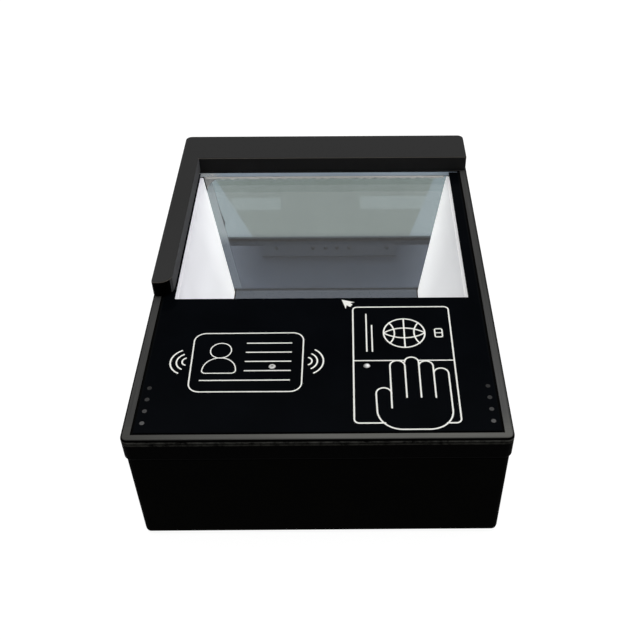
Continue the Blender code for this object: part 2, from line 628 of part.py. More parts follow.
def build_base(plastic):
    """Lower tub with its floor, ribs, bosses and the openings in its rear wall."""
    shape = bmesh.new()
    levels = []
    for step in range(BASE_EDGE_STEPS + 1):
        angle = math.pi / 2 * step / BASE_EDGE_STEPS
        levels.append((FOOT_REACH + BASE_EDGE_RADIUS * (1 - math.cos(angle)),
                       BASE_EDGE_RADIUS * (1 - math.sin(angle))))
    tongue_inset = BASE_OUTER_X - (LID_INNER_X - GAP)
    levels.append((BASE_TOP, 0.0))
    levels.append((BASE_TOP, tongue_inset))
    levels.append((BASE_TOP + TONGUE_HEIGHT, tongue_inset))
    rings = []
    for height, inset in levels:
        radius = max(CORNER_RADIUS - BASE_INSET - inset, CORNER_RADIUS - RIM_ROUND - GAP)
        outline = rounded_rectangle(BASE_OUTER_X - inset, BASE_OUTER_Y - inset, radius)
        rings.append([(x, y, height) for x, y in outline])
    add_loft(shape, rings)
    base = make_object("base_housing", shape, plastic)

    hollow = bmesh.new()
    outline = rounded_rectangle(BASE_INNER_X, BASE_INNER_Y, CORNER_RADIUS / 2)
    add_prism(hollow, outline, FLOOR_TOP, BASE_TOP + TONGUE_HEIGHT + OVERRUN)
    carve(base, hollow)

    extras = bmesh.new()
    sunk = FLOOR_TOP - FLOOR_THICKNESS / 2
    for name, x, y in corners_of(CASE_SCREW_X, CASE_SCREW_Y):
        add_round(extras, (x, y, sunk), (x, y, BOSS_TOP), BASE_BOSS_RADIUS)
    for x, y in board_posts():
        add_round(extras, (x, y, sunk), (x, y, BOARD_BOTTOM - GAP), SMALL_BOSS_RADIUS, sides=SMALL_SIDES)
    for side in (-1, 1):
        add_round(extras, (side * BRACKET_SCREW_HALF_PITCH, bracket_screw_y(), sunk),
                  (side * BRACKET_SCREW_HALF_PITCH, bracket_screw_y(), FLOOR_TOP + BRACKET_BOSS_HEIGHT),
                  SMALL_BOSS_RADIUS, sides=SMALL_SIDES)
        add_round(extras, (side * PEG_HALF_PITCH, camera_foot_middle(), sunk),
                  (side * PEG_HALF_PITCH, camera_foot_middle(), ON_FLOOR + BRACKET_THICKNESS + GAP),
                  PEG_RADIUS, sides=SMALL_SIDES)
        near, far = sorted((side * (BASE_INNER_X - RIB_REACH), side * (BASE_INNER_X + BASE_WALL / 2)))
        for front in (BULKHEAD_BACK + GAP, BULKHEAD_FRONT - GAP - RIB_THICKNESS):
            add_box(extras, (near, front, sunk), (far, front + RIB_THICKNESS, FLOOR_TOP + RIB_HEIGHT))
    panel_front = BASE_OUTER_Y - SWITCH_POCKET_DEPTH - SWITCH_PANEL
    half_x = SWITCH_POCKET_WIDTH / 2 + SWITCH_PANEL
    half_z = SWITCH_POCKET_HEIGHT / 2 + SWITCH_PANEL
    add_box(extras, (SWITCH_PLACE - half_x, panel_front, SWITCH_HEIGHT - half_z),
            (SWITCH_PLACE + half_x, BASE_OUTER_Y - BASE_WALL / 2, SWITCH_HEIGHT + half_z))
    carve(base, extras, "UNION")

    cuts = bmesh.new()
    for name, x, y in corners_of(CASE_SCREW_X, CASE_SCREW_Y):
        add_round(cuts, (x, y, FOOT_REACH - OVERRUN), (x, y, FOOT_REACH + HEAD_POCKET_DEPTH),
                  HEAD_POCKET_RADIUS)
    for name, x, y in corners_of(HALF_WIDTH - FOOT_INSET_X, HALF_DEPTH - FOOT_INSET_Y):
        add_round(cuts, (x, y, FOOT_REACH - OVERRUN), (x, y, FOOT_REACH + FOOT_RECESS),
                  FOOT_RADIUS + GAP, sides=FINE_SIDES)
    for x, y in board_posts():
        add_round(cuts, (x, y, BOARD_BOTTOM - GAP - POST_HOLE_DEPTH), (x, y, BOARD_BOTTOM),
                  SMALL_SCREW_RADIUS + SCREW_CLEARANCE, sides=SMALL_SIDES)
    for side in (-1, 1):
        top = FLOOR_TOP + BRACKET_BOSS_HEIGHT
        add_round(cuts, (side * BRACKET_SCREW_HALF_PITCH, bracket_screw_y(), top - POST_HOLE_DEPTH),
                  (side * BRACKET_SCREW_HALF_PITCH, bracket_screw_y(), top + OVERRUN),
                  SMALL_SCREW_RADIUS + SCREW_CLEARANCE, sides=SMALL_SIDES)
    pocket_floor = BASE_OUTER_Y - SWITCH_POCKET_DEPTH
    add_box(cuts, (SWITCH_PLACE - SWITCH_POCKET_WIDTH / 2, pocket_floor,
                   SWITCH_HEIGHT - SWITCH_POCKET_HEIGHT / 2),
            (SWITCH_PLACE + SWITCH_POCKET_WIDTH / 2, BASE_OUTER_Y + OVERRUN,
             SWITCH_HEIGHT + SWITCH_POCKET_HEIGHT / 2))
    for place, width, height in ((USB_PLACE, USB_WIDTH, USB_HEIGHT), (JACK_PLACE, JACK_WIDTH, JACK_HEIGHT)):
        add_box(cuts, (place - width / 2 - GAP, BASE_INNER_Y - OVERRUN, BOARD_TOP),
                (place + width / 2 + GAP, BASE_OUTER_Y + OVERRUN, BOARD_TOP + height + GAP + GAP))
    carve(base, cuts)

    through = bmesh.new()
    for name, x, y in corners_of(CASE_SCREW_X, CASE_SCREW_Y):
        add_round(through, (x, y, FOOT_REACH), (x, y, BOSS_TOP + OVERRUN),
                  CASE_SCREW_RADIUS + SCREW_CLEARANCE)
    add_box(through, (SWITCH_PLACE - SWITCH_BODY_WIDTH / 2 - GAP, panel_front - OVERRUN,
                      SWITCH_HEIGHT - SWITCH_BODY_HEIGHT / 2 - GAP),
            (SWITCH_PLACE + SWITCH_BODY_WIDTH / 2 + GAP, pocket_floor + OVERRUN,
             SWITCH_HEIGHT + SWITCH_BODY_HEIGHT / 2 + GAP))
    carve(base, through)


def build_guide(plastic):
    """L-shaped rail that squares the passport up against the back and the left side."""
    tip = WINDOW_FRONT + GUIDE_SETBACK
    outer = -HALF_WIDTH + GUIDE_SIDE_INSET
    inner = outer + GUIDE_SIDE_WIDTH
    end = HALF_WIDTH - GUIDE_END_INSET
    outline = filleted([
        (outer, tip, GUIDE_TIP_OUTER_RADIUS),
        (inner, tip, GUIDE_TIP_INNER_RADIUS),
        (inner, GUIDE_FACE, 0.0),
        (end, GUIDE_FACE, 0.0),
        (end, HALF_DEPTH, CORNER_RADIUS),
        (outer, HALF_DEPTH, CORNER_RADIUS),
    ])
    shape = bmesh.new()
    add_prism(shape, outline, RIM_HEIGHT + GAP, RIM_HEIGHT + GUIDE_HEIGHT)
    guide = make_object("document_guide", shape, plastic)
    soften(guide, GUIDE_EDGE)
    holes = bmesh.new()
    for x in guide_screw_places():
        y = (GUIDE_FACE + LIP_DEPTH + LID_INNER_Y) / 2
        tip_height = SHELF_BOTTOM - GAP + GUIDE_SCREW_LENGTH + GAP
        add_round(holes, (x, y, RIM_HEIGHT), (x, y, tip_height), GUIDE_SCREW_RADIUS + SCREW_CLEARANCE)
    carve(guide, holes)


def build_glass(glass, film, rubber):
    """Cover glass with the sensor holes, the adhesive film under its edge, and its edge seal."""
    half = RIM_INNER - GLASS_JOINT
    front = RIM_FRONT + GLASS_JOINT
    back = GUIDE_FACE - GLASS_JOINT
    shape = bmesh.new()
    add_box(shape, (-half, front, GLASS_BOTTOM), (half, back, GLASS_TOP))
    pane = make_object("cover_glass", shape, glass, smooth=False)
    holes = bmesh.new()
    for side in (-1, 1):
        x, y = side * SENSOR_HALF_SPAN, RIM_FRONT + SENSOR_PLACE
        add_round(holes, (x, y, GLASS_BOTTOM - OVERRUN), (x, y, GLASS_TOP + OVERRUN),
                  SENSOR_RADIUS + SENSOR_HOLE_CLEARANCE)
    carve(pane, holes)

    shape = bmesh.new()
    film_bottom = FILM_TOP - FILM_THICKNESS
    add_box(shape, (-half + GAP, front + GAP, film_bottom), (half - GAP, back - GAP, FILM_TOP))
    sheet = make_object("bonding_film", shape, film, smooth=False)
    openings = bmesh.new()
    add_box(openings, (-LEDGE_INNER, DECK_BACK, film_bottom - OVERRUN),
            (LEDGE_INNER, back + OVERRUN, FILM_TOP + OVERRUN))
    add_box(openings, (-DECK_OPENING_HALF, DECK_OPENING_FRONT, film_bottom - OVERRUN),
            (DECK_OPENING_HALF, DECK_OPENING_BACK, FILM_TOP + OVERRUN))
    for side in (-1, 1):
        for y in indicator_places():
            add_round(openings, (side * INDICATOR_HALF_SPAN, y, film_bottom - OVERRUN),
                      (side * INDICATOR_HALF_SPAN, y, FILM_TOP + OVERRUN), PIPE_RADIUS + GAP,
                      sides=SMALL_SIDES)
    carve(sheet, openings)

    shape = bmesh.new()
    add_box(shape, (-RIM_INNER + SEAL_SQUEEZE, RIM_FRONT + SEAL_SQUEEZE, GLASS_BOTTOM),
            (RIM_INNER - SEAL_SQUEEZE, GUIDE_FACE - SEAL_SQUEEZE, GLASS_TOP - SEAL_SINK))
    ring = make_object("edge_seal", shape, rubber, smooth=False)
    middle = bmesh.new()
    add_box(middle, (-half - SEAL_SQUEEZE, front - SEAL_SQUEEZE, LEDGE_TOP - OVERRUN),
            (half + SEAL_SQUEEZE, back + SEAL_SQUEEZE, RIM_HEIGHT + OVERRUN))
    carve(ring, middle)


def build_feet(rubber):
    for name, x, y in corners_of(HALF_WIDTH - FOOT_INSET_X, HALF_DEPTH - FOOT_INSET_Y):
        shape = bmesh.new()
        rings = []
        for radius, height in ((FOOT_RADIUS - FOOT_EDGE, 0.0), (FOOT_RADIUS, FOOT_EDGE),
                               (FOOT_RADIUS, FOOT_REACH + FOOT_RECESS - GAP)):
            rings.append(circle_points(x, y, radius, height, FINE_SIDES))
        add_loft(shape, rings)
        make_object("foot_" + name, shape, rubber)


def build_screw(name, steel, seat, direction, radius, length, head_radius, head_height):
    """A cap screw: seat is the middle of the face its head rests on, direction points to its tip."""
    direction = Vector(direction).normalized()
    seat = Vector(seat)
    shape = bmesh.new()
    add_round(shape, seat - direction * head_height, seat, head_radius)
    screw = make_object(name, shape, steel)
    shank = bmesh.new()
    add_round(shank, seat - direction * (head_height / 2), seat + direction * length, radius,
              sides=SMALL_SIDES)
    carve(screw, shank, "UNION")
    socket = bmesh.new()
    depth = head_height * HEX_SOCKET_DEPTH_SHARE
    add_round(socket, seat - direction * (head_height + OVERRUN), seat - direction * (head_height - depth),
              head_radius / 2, sides=HEX_SIDES)
    carve(screw, socket)


def build_fasteners(steel):
    for name, x, y in corners_of(CASE_SCREW_X, CASE_SCREW_Y):
        seat = FOOT_REACH + HEAD_POCKET_DEPTH - GAP
        build_screw("case_screw_" + name, steel, (x, y, seat), (0, 0, 1), CASE_SCREW_RADIUS,
                    CASE_SCREW_LENGTH, CASE_SCREW_HEAD_RADIUS, CASE_SCREW_HEAD_HEIGHT)
    for number, x in enumerate(guide_screw_places(), 1):
        y = (GUIDE_FACE + LIP_DEPTH + LID_INNER_Y) / 2
        build_screw(f"guide_screw_{number}", steel, (x, y, SHELF_BOTTOM - GAP), (0, 0, 1),
                    GUIDE_SCREW_RADIUS, GUIDE_SCREW_LENGTH, GUIDE_SCREW_HEAD_RADIUS,
                    GUIDE_SCREW_HEAD_HEIGHT)
    antenna_bottom = LEDGE_BOTTOM - GAP - BOARD_THICKNESS
    for name, x, y in antenna_screws():
        build_screw("antenna_screw_" + name, steel, (x, y, antenna_bottom - GAP), (0, 0, 1),
                    SMALL_SCREW_RADIUS, ANTENNA_SCREW_LENGTH, SMALL_SCREW_HEAD_RADIUS,
                    SMALL_SCREW_HEAD_HEIGHT)
    for number, (x, y) in enumerate(board_posts(), 1):
        build_screw(f"board_screw_{number}", steel, (x, y, BOARD_TOP + GAP), (0, 0, -1),
                    SMALL_SCREW_RADIUS, BOARD_SCREW_LENGTH, SMALL_SCREW_HEAD_RADIUS,
                    SMALL_SCREW_HEAD_HEIGHT)
    for name, side in (("left", -1), ("right", 1)):
        top = FLOOR_TOP + BRACKET_BOSS_HEIGHT + GAP + BRACKET_THICKNESS + GAP
        build_screw("mirror_screw_" + name, steel,
                    (side * BRACKET_SCREW_HALF_PITCH, bracket_screw_y(), top), (0, 0, -1),
                    SMALL_SCREW_RADIUS, BRACKET_THICKNESS + POST_HOLE_DEPTH, SMALL_SCREW_HEAD_RADIUS,
                    SMALL_SCREW_HEAD_HEIGHT)


def build_walls(diffuser):
    """Two translucent panels that lean in towards the floor and light the document evenly."""
    top = GLASS_BOTTOM - GAP
    front = BULKHEAD_BACK + GAP
    across = WALL_THICKNESS / math.cos(WALL_LEAN)
    corners = ((front, ON_FLOOR), (mirror_face(ON_FLOOR) - GAP / math.sin(MIRROR_ANGLE), ON_FLOOR),
               (mirror_face(top) - GAP / math.sin(MIRROR_ANGLE), top), (front, top))
    for name, side in (("left", -1), ("right", 1)):
        shape = bmesh.new()
        rings = [[(side * (wall_inner(z) + offset), y, z) for y, z in corners] for offset in (0.0, across)]
        add_loft(shape, rings)
        make_object("diffuser_wall_" + name, shape, diffuser, smooth=False)


def sloped_outline(extra, inset_top, corner_radius):
    """Outline of a plate in the mirror's plane, in its own X and Y, from its top edge down."""
    drop = MIRROR_TOP_Z - ON_FLOOR - MIRROR_THICKNESS * math.cos(MIRROR_ANGLE)
    length = drop / math.sin(MIRROR_ANGLE)
    bottom_half = wall_inner(ON_FLOOR) + extra
    top_half = wall_inner(MIRROR_TOP_Z) + extra
    return filleted([(-bottom_half, -length, 0.0), (bottom_half, -length, 0.0),
                     (top_half, -inset_top, 0.0), (-top_half, -inset_top, corner_radius)])


def build_mirror(mirror, steel):
    """Tinted mirror plate, leaning back, and the bent bracket that holds it on two bosses."""
    shape = bmesh.new()
    add_prism(shape, sloped_outline(MIRROR_OVERLAP, 0.0, MIRROR_CORNER_RADIUS), -MIRROR_THICKNESS, 0.0)
    make_object("mirror", shape, mirror, origin=(0.0, MIRROR_TOP_Y, MIRROR_TOP_Z),
                turn=(MIRROR_ANGLE, 0.0, 0.0), smooth=False)

    flange_bottom = FLOOR_TOP + BRACKET_BOSS_HEIGHT + GAP
    flange_top = flange_bottom + BRACKET_THICKNESS
    near = MIRROR_THICKNESS + GAP
    far = near + BRACKET_THICKNESS
    top = MIRROR_TOP_Z - BRACKET_SIDE_INSET
    shape = bmesh.new()
    low_half = wall_inner(flange_bottom) + MIRROR_OVERLAP - BRACKET_SIDE_INSET
    high_half = wall_inner(top) + MIRROR_OVERLAP - BRACKET_SIDE_INSET
    rings = []
    for z, half in ((flange_bottom, low_half), (top, high_half)):
        rings.append([(-half, mirror_face(z, near), z), (half, mirror_face(z, near), z),
                      (half, mirror_face(z, far), z), (-half, mirror_face(z, far), z)])
    add_loft(shape, rings)
    bracket = make_object("mirror_bracket", shape, steel, smooth=False)
    flange = bmesh.new()
    start = mirror_face(flange_bottom, (near + far) / 2)
    add_box(flange, (-BRACKET_FLANGE_HALF_WIDTH, start, flange_bottom),
            (BRACKET_FLANGE_HALF_WIDTH, start + BRACKET_FLANGE, flange_top))
    carve(bracket, flange, "UNION")
    holes = bmesh.new()
    for side in (-1, 1):
        x = side * BRACKET_SCREW_HALF_PITCH
        add_round(holes, (x, bracket_screw_y(), flange_bottom - OVERRUN),
                  (x, bracket_screw_y(), flange_top + OVERRUN), SMALL_SCREW_RADIUS + SCREW_CLEARANCE,
                  sides=SMALL_SIDES)
    carve(bracket, holes)


def build_bulkhead(plastic):
    """Wall between the chamber and the camera, with an opening for the lens and the ribbons."""
    half = BASE_INNER_X - GAP
    shape = bmesh.new()
    add_box(shape, (-half, BULKHEAD_FRONT, ON_FLOOR), (half, BULKHEAD_BACK, LEDGE_BOTTOM - GAP))
    wall = make_object("front_bulkhead", shape, plastic, smooth=False)
    openings = bmesh.new()
    bottom = ON_FLOOR + CAMERA_OPENING_BOTTOM
    add_box(openings, (-CAMERA_OPENING_WIDTH / 2, BULKHEAD_FRONT - OVERRUN, bottom),
            (CAMERA_OPENING_WIDTH / 2, BULKHEAD_BACK + OVERRUN, bottom + CAMERA_OPENING_HEIGHT))
    notch_half = RIBBON_WIDTH / 2 + RIBBON_NOTCH_MARGIN
    for side in (-1, 1):
        add_box(openings, (side * RIBBON_LANE - notch_half, BULKHEAD_FRONT - OVERRUN, ON_FLOOR - OVERRUN),
                (side * RIBBON_LANE + notch_half, BULKHEAD_BACK + OVERRUN, ON_FLOOR + RIBBON_NOTCH_HEIGHT))
    carve(wall, openings)


def camera_front():
    """The middle of the lens's front rim."""
    return Vector((0.0, BULKHEAD_FRONT - CAMERA_STANDOFF, CAMERA_HEIGHT))


def along_axis(distance, across=0.0, up=0.0):
    """A point given along the lens's axis from its front rim, across it and up its image side."""
    axis = Vector((0.0, math.cos(CAMERA_TILT), math.sin(CAMERA_TILT)))
    rise = Vector((0.0, -math.sin(CAMERA_TILT), math.cos(CAMERA_TILT)))
    return camera_front() + axis * distance + rise * up + Vector((across, 0.0, 0.0))


def plate_back():
    """Distance along the lens's axis of the bracket's rear face, where the board sits."""
    return -(MOUNT_SETBACK + MOUNT_DEPTH)


def camera_foot_middle():
    """Y of the middle of the camera bracket's foot."""
    return along_axis(plate_back()).y + PEG_SETBACK


def build_camera(plastic, board, steel, glass, brass):
    """Lens barrel in its mount, on a small board that a bent bracket holds up from the floor."""
    turn = (CAMERA_TILT, 0.0, 0.0)
    origin = camera_front()
    shape = bmesh.new()
    add_round(shape, (0, -BARREL_LENGTH, 0), (0, 0, 0), BARREL_RADIUS, sides=FINE_SIDES)
    barrel = make_object("lens_barrel", shape, plastic, origin=origin, turn=turn)
    ring = bmesh.new()
    add_round(ring, along_axis(-BARREL_RING_LENGTH), along_axis(0.0), BARREL_RING_RADIUS, sides=FINE_SIDES)
    carve(barrel, ring, "UNION")
    bore = bmesh.new()
    add_round(bore, along_axis(-LENS_SINK - LENS_THICKNESS - GAP), along_axis(OVERRUN),
              LENS_RADIUS + GAP, sides=FINE_SIDES)
    carve(barrel, bore)

    shape = bmesh.new()
    add_round(shape, (0, -LENS_SINK - LENS_THICKNESS, 0), (0, -LENS_SINK, 0), LENS_RADIUS, sides=FINE_SIDES)
    make_object("lens_glass", shape, glass, origin=origin, turn=turn)

    half = MOUNT_WIDTH / 2
    shape = bmesh.new()
    add_box(shape, (-half, plate_back(), -half), (half, plate_back() + MOUNT_DEPTH, half))
    mount = make_object("lens_mount", shape, plastic, origin=origin, turn=turn, smooth=False)
    bore = bmesh.new()
    add_round(bore, along_axis(-BARREL_LENGTH - GAP), along_axis(OVERRUN), BARREL_RADIUS + GAP,
              sides=FINE_SIDES)
    carve(mount, bore)

    half_width = CAMERA_BOARD_WIDTH / 2
    half_height = CAMERA_BOARD_HEIGHT / 2
    board_front = plate_back() - GAP
    shape = bmesh.new()
    add_box(shape, (-half_width, board_front - BOARD_THICKNESS, -half_height),
            (half_width, board_front, half_height))
    circuit = make_object("camera_board", shape, board, origin=origin, turn=turn, smooth=False)
    plug = bmesh.new()
    low = -half_height + BOARD_THICKNESS
    add_box(plug, (-CAMERA_PLUG_WIDTH / 2, board_front - BOARD_THICKNESS - CAMERA_PLUG_DEPTH, low),
            (CAMERA_PLUG_WIDTH / 2, board_front - BOARD_THICKNESS / 2, low + CAMERA_PLUG_HEIGHT))
    bmesh.ops.rotate(plug, verts=plug.verts, matrix=Matrix.Rotation(CAMERA_TILT, 3, "X"))
    bmesh.ops.translate(plug, verts=plug.verts, vec=origin)
    carve(circuit, plug, "UNION")
    holes = bmesh.new()
    for side in (-1, 1):
        x = side * CAMERA_SCREW_HALF_PITCH
        add_round(holes, along_axis(board_front - BOARD_THICKNESS - OVERRUN, x),
                  along_axis(board_front + OVERRUN, x), SMALL_SCREW_RADIUS + SCREW_CLEARANCE,
                  sides=SMALL_SIDES)
    carve(circuit, holes)

    shape = bmesh.new()
    foot_top = ON_FLOOR + BRACKET_THICKNESS
    back_foot = along_axis(plate_back(), 0.0, (ON_FLOOR - origin.z) / math.cos(CAMERA_TILT)
                           + plate_back() * -math.tan(CAMERA_TILT))
    top_back = along_axis(plate_back(), 0.0, half_height)
    top_front = along_axis(plate_back() + BRACKET_THICKNESS, 0.0, half_height)
    slope = (top_back.y - back_foot.y) / (top_back.z - ON_FLOOR)
    knee_y = top_front.y - slope * (top_front.z - foot_top)
    foot_end = back_foot.y + BRACKET_THICKNESS + CAMERA_BRACKET_FOOT
    outline = [(back_foot.y, ON_FLOOR), (foot_end, ON_FLOOR), (foot_end, foot_top), (knee_y, foot_top),
               (top_front.y, top_front.z), (top_back.y, top_back.z)]
    add_side_prism(shape, outline, -half_width, half_width)
    bracket = make_object("camera_bracket", shape, steel, smooth=False)
    openings = bmesh.new()
    window = half + GAP + GAP
    add_box(openings, (-window, plate_back() - OVERRUN, -window),
            (window, plate_back() + BRACKET_THICKNESS + OVERRUN, window))
    bmesh.ops.rotate(openings, verts=openings.verts, matrix=Matrix.Rotation(CAMERA_TILT, 3, "X"))
    bmesh.ops.translate(openings, verts=openings.verts, vec=origin)
    for side in (-1, 1):
        x = side * CAMERA_SCREW_HALF_PITCH
        add_round(openings, along_axis(plate_back() - OVERRUN, x),
                  along_axis(plate_back() + BRACKET_THICKNESS + OVERRUN, x),
                  SMALL_SCREW_RADIUS + SCREW_CLEARANCE, sides=SMALL_SIDES)
        add_round(openings, (side * PEG_HALF_PITCH, camera_foot_middle(), ON_FLOOR - OVERRUN),
                  (side * PEG_HALF_PITCH, camera_foot_middle(), foot_top + OVERRUN),
                  PEG_RADIUS + GAP, sides=SMALL_SIDES)
    carve(bracket, openings)

    for name, side in (("left", -1), ("right", 1)):
        seat = along_axis(board_front - BOARD_THICKNESS - GAP, side * CAMERA_SCREW_HALF_PITCH)
        build_screw("camera_screw_" + name, brass, seat,
                    (0.0, math.cos(CAMERA_TILT), math.sin(CAMERA_TILT)), SMALL_SCREW_RADIUS,
                    CAMERA_SCREW_LENGTH, SMALL_SCREW_HEAD_RADIUS, SMALL_SCREW_HEAD_HEIGHT)


def build_light_strips(board):
    """Strips of lamps: one on the bulkhead under the panel, one on each side wall of the tub."""
    top = LEDGE_BOTTOM - GAP - GAP
    back = BULKHEAD_BACK + GAP + BOARD_THICKNESS
    shape = bmesh.new()
    add_box(shape, (-FRONT_STRIP_LENGTH / 2, BULKHEAD_BACK + GAP, top - STRIP_WIDTH),
            (FRONT_STRIP_LENGTH / 2, back, top))
    strip = make_object("led_bar_front", shape, board, smooth=False)
    lamps = bmesh.new()
    for x in FRONT_STRIP_LAMPS:
        centre = (x, back - BOARD_THICKNESS / 2, top - FRONT_LAMP_DROP)
        add_dome(lamps, centre, DOME_RADIUS, DOME_HEIGHT + BOARD_THICKNESS / 2, (0, 1, 0), sides=SMALL_SIDES)
    carve(strip, lamps, "UNION")

    middle = (mirror_face(SIDE_STRIP_HEIGHT) + BULKHEAD_BACK) / 2
    length = mirror_face(SIDE_STRIP_HEIGHT) - BULKHEAD_BACK - 2 * SIDE_STRIP_MARGIN
    pitch = length / SIDE_STRIP_LEDS
    for name, side in (("left", -1), ("right", 1)):
        outer = side * (BASE_INNER_X - GAP)
        inner = side * (BASE_INNER_X - GAP - BOARD_THICKNESS)
        shape = bmesh.new()
        add_box(shape, (min(outer, inner), middle - length / 2,
                        SIDE_STRIP_HEIGHT - STRIP_WIDTH / 2),
                (max(outer, inner), middle + length / 2, SIDE_STRIP_HEIGHT + STRIP_WIDTH / 2))
        strip = make_object("led_bar_" + name, shape, board, smooth=False)
        lamps = bmesh.new()
        face = inner - side * LED_HEIGHT
        root = inner + side * BOARD_THICKNESS / 2
        for k in range(SIDE_STRIP_LEDS):
            y = middle + pitch * (k - (SIDE_STRIP_LEDS - 1) / 2)
            add_box(lamps, (min(face, root), y - LED_SIZE / 2, SIDE_STRIP_HEIGHT - LED_SIZE / 2),
                    (max(face, root), y + LED_SIZE / 2, SIDE_STRIP_HEIGHT + LED_SIZE / 2))
        carve(strip, lamps, "UNION")


def build_indicators(clear, board):
    """At each side of the panel: a comb of light pipes up to the glass, over a strip of lamps."""
    bar_top = LEDGE_BOTTOM - GAP
    bar_bottom = bar_top - PIPE_BAR_HEIGHT
    lamp_top = bar_bottom - GAP
    board_top = lamp_top - INDICATOR_LED_HEIGHT
    places = indicator_places()
    front = places[0] - PIPE_BAR_MARGIN
    back = places[-1] + PIPE_BAR_MARGIN
    for name, side in (("left", -1), ("right", 1)):
        x = side * INDICATOR_HALF_SPAN
        shape = bmesh.new()
        add_box(shape, (x - PIPE_BAR_WIDTH / 2, front, bar_bottom), (x + PIPE_BAR_WIDTH / 2, back, bar_top))
        comb = make_object("light_pipe_" + name, shape, clear)
        posts = bmesh.new()
        for y in places:
            add_round(posts, (x, y, bar_top - PIPE_BAR_HEIGHT / 2), (x, y, GLASS_BOTTOM - GAP),
                      PIPE_RADIUS, sides=SMALL_SIDES)
        carve(comb, posts, "UNION")

        shape = bmesh.new()
        half = INDICATOR_BOARD_WIDTH / 2
        add_box(shape, (x - half, front, board_top - BOARD_THICKNESS), (x + half, back, board_top))
        circuit = make_object("indicator_board_" + name, shape, board, smooth=False)
        lamps = bmesh.new()
        for y in places:
            size = INDICATOR_LED_SIZE / 2
            add_box(lamps, (x - size, y - size, board_top - BOARD_THICKNESS / 2),
                    (x + size, y + size, lamp_top))
        carve(circuit, lamps, "UNION")


def build_sensors(clear):
    """Two domed sensors that reach up through the glass to the panel's surface."""
    for name, side in (("emitter", -1), ("receiver", 1)):
        x, y = side * SENSOR_HALF_SPAN, RIM_FRONT + SENSOR_PLACE
        dome_root = GLASS_TOP - SENSOR_DOME_HEIGHT
        flange_top = LEDGE_BOTTOM + SENSOR_FLANGE_HEIGHT
        levels = [(LEDGE_BOTTOM, SENSOR_FLANGE_RADIUS), (flange_top, SENSOR_FLANGE_RADIUS),
                  (flange_top, SENSOR_RADIUS)]
        for step in range(DOME_STEPS):
            angle = math.pi / 2 * step / DOME_STEPS
            levels.append((dome_root + SENSOR_DOME_HEIGHT * math.sin(angle),
                           SENSOR_RADIUS * math.cos(angle)))
        shape = bmesh.new()
        add_loft(shape, [circle_points(x, y, radius, height) for height, radius in levels])
        make_object("sensor_" + name, shape, clear)


def build_contactless_reader(board, steel):
    """Antenna board hung under the deck, and the shielded module below it."""
    top = LEDGE_BOTTOM - GAP
    bottom = top - BOARD_THICKNESS
    middle = antenna_centre_y()
    shape = bmesh.new()
    add_box(shape, (-ANTENNA_WIDTH / 2, middle - ANTENNA_DEPTH / 2, bottom),
            (ANTENNA_WIDTH / 2, middle + ANTENNA_DEPTH / 2, top))
    antenna = make_object("rfid_antenna_board", shape, board, smooth=False)
    holes = bmesh.new()
    for name, x, y in antenna_screws():
        add_round(holes, (x, y, bottom - OVERRUN), (x, y, top + OVERRUN),
                  SMALL_SCREW_RADIUS + SCREW_CLEARANCE, sides=SMALL_SIDES)
    carve(antenna, holes)

    can_middle = middle + MODULE_FORWARD
    shape = bmesh.new()
    add_box(shape, (-MODULE_WIDTH / 2, can_middle - MODULE_DEPTH / 2, bottom - GAP - MODULE_HEIGHT),
            (MODULE_WIDTH / 2, can_middle + MODULE_DEPTH / 2, bottom - GAP))
    can = make_object("rfid_module", shape, steel)
    soften(can, MODULE_EDGE)


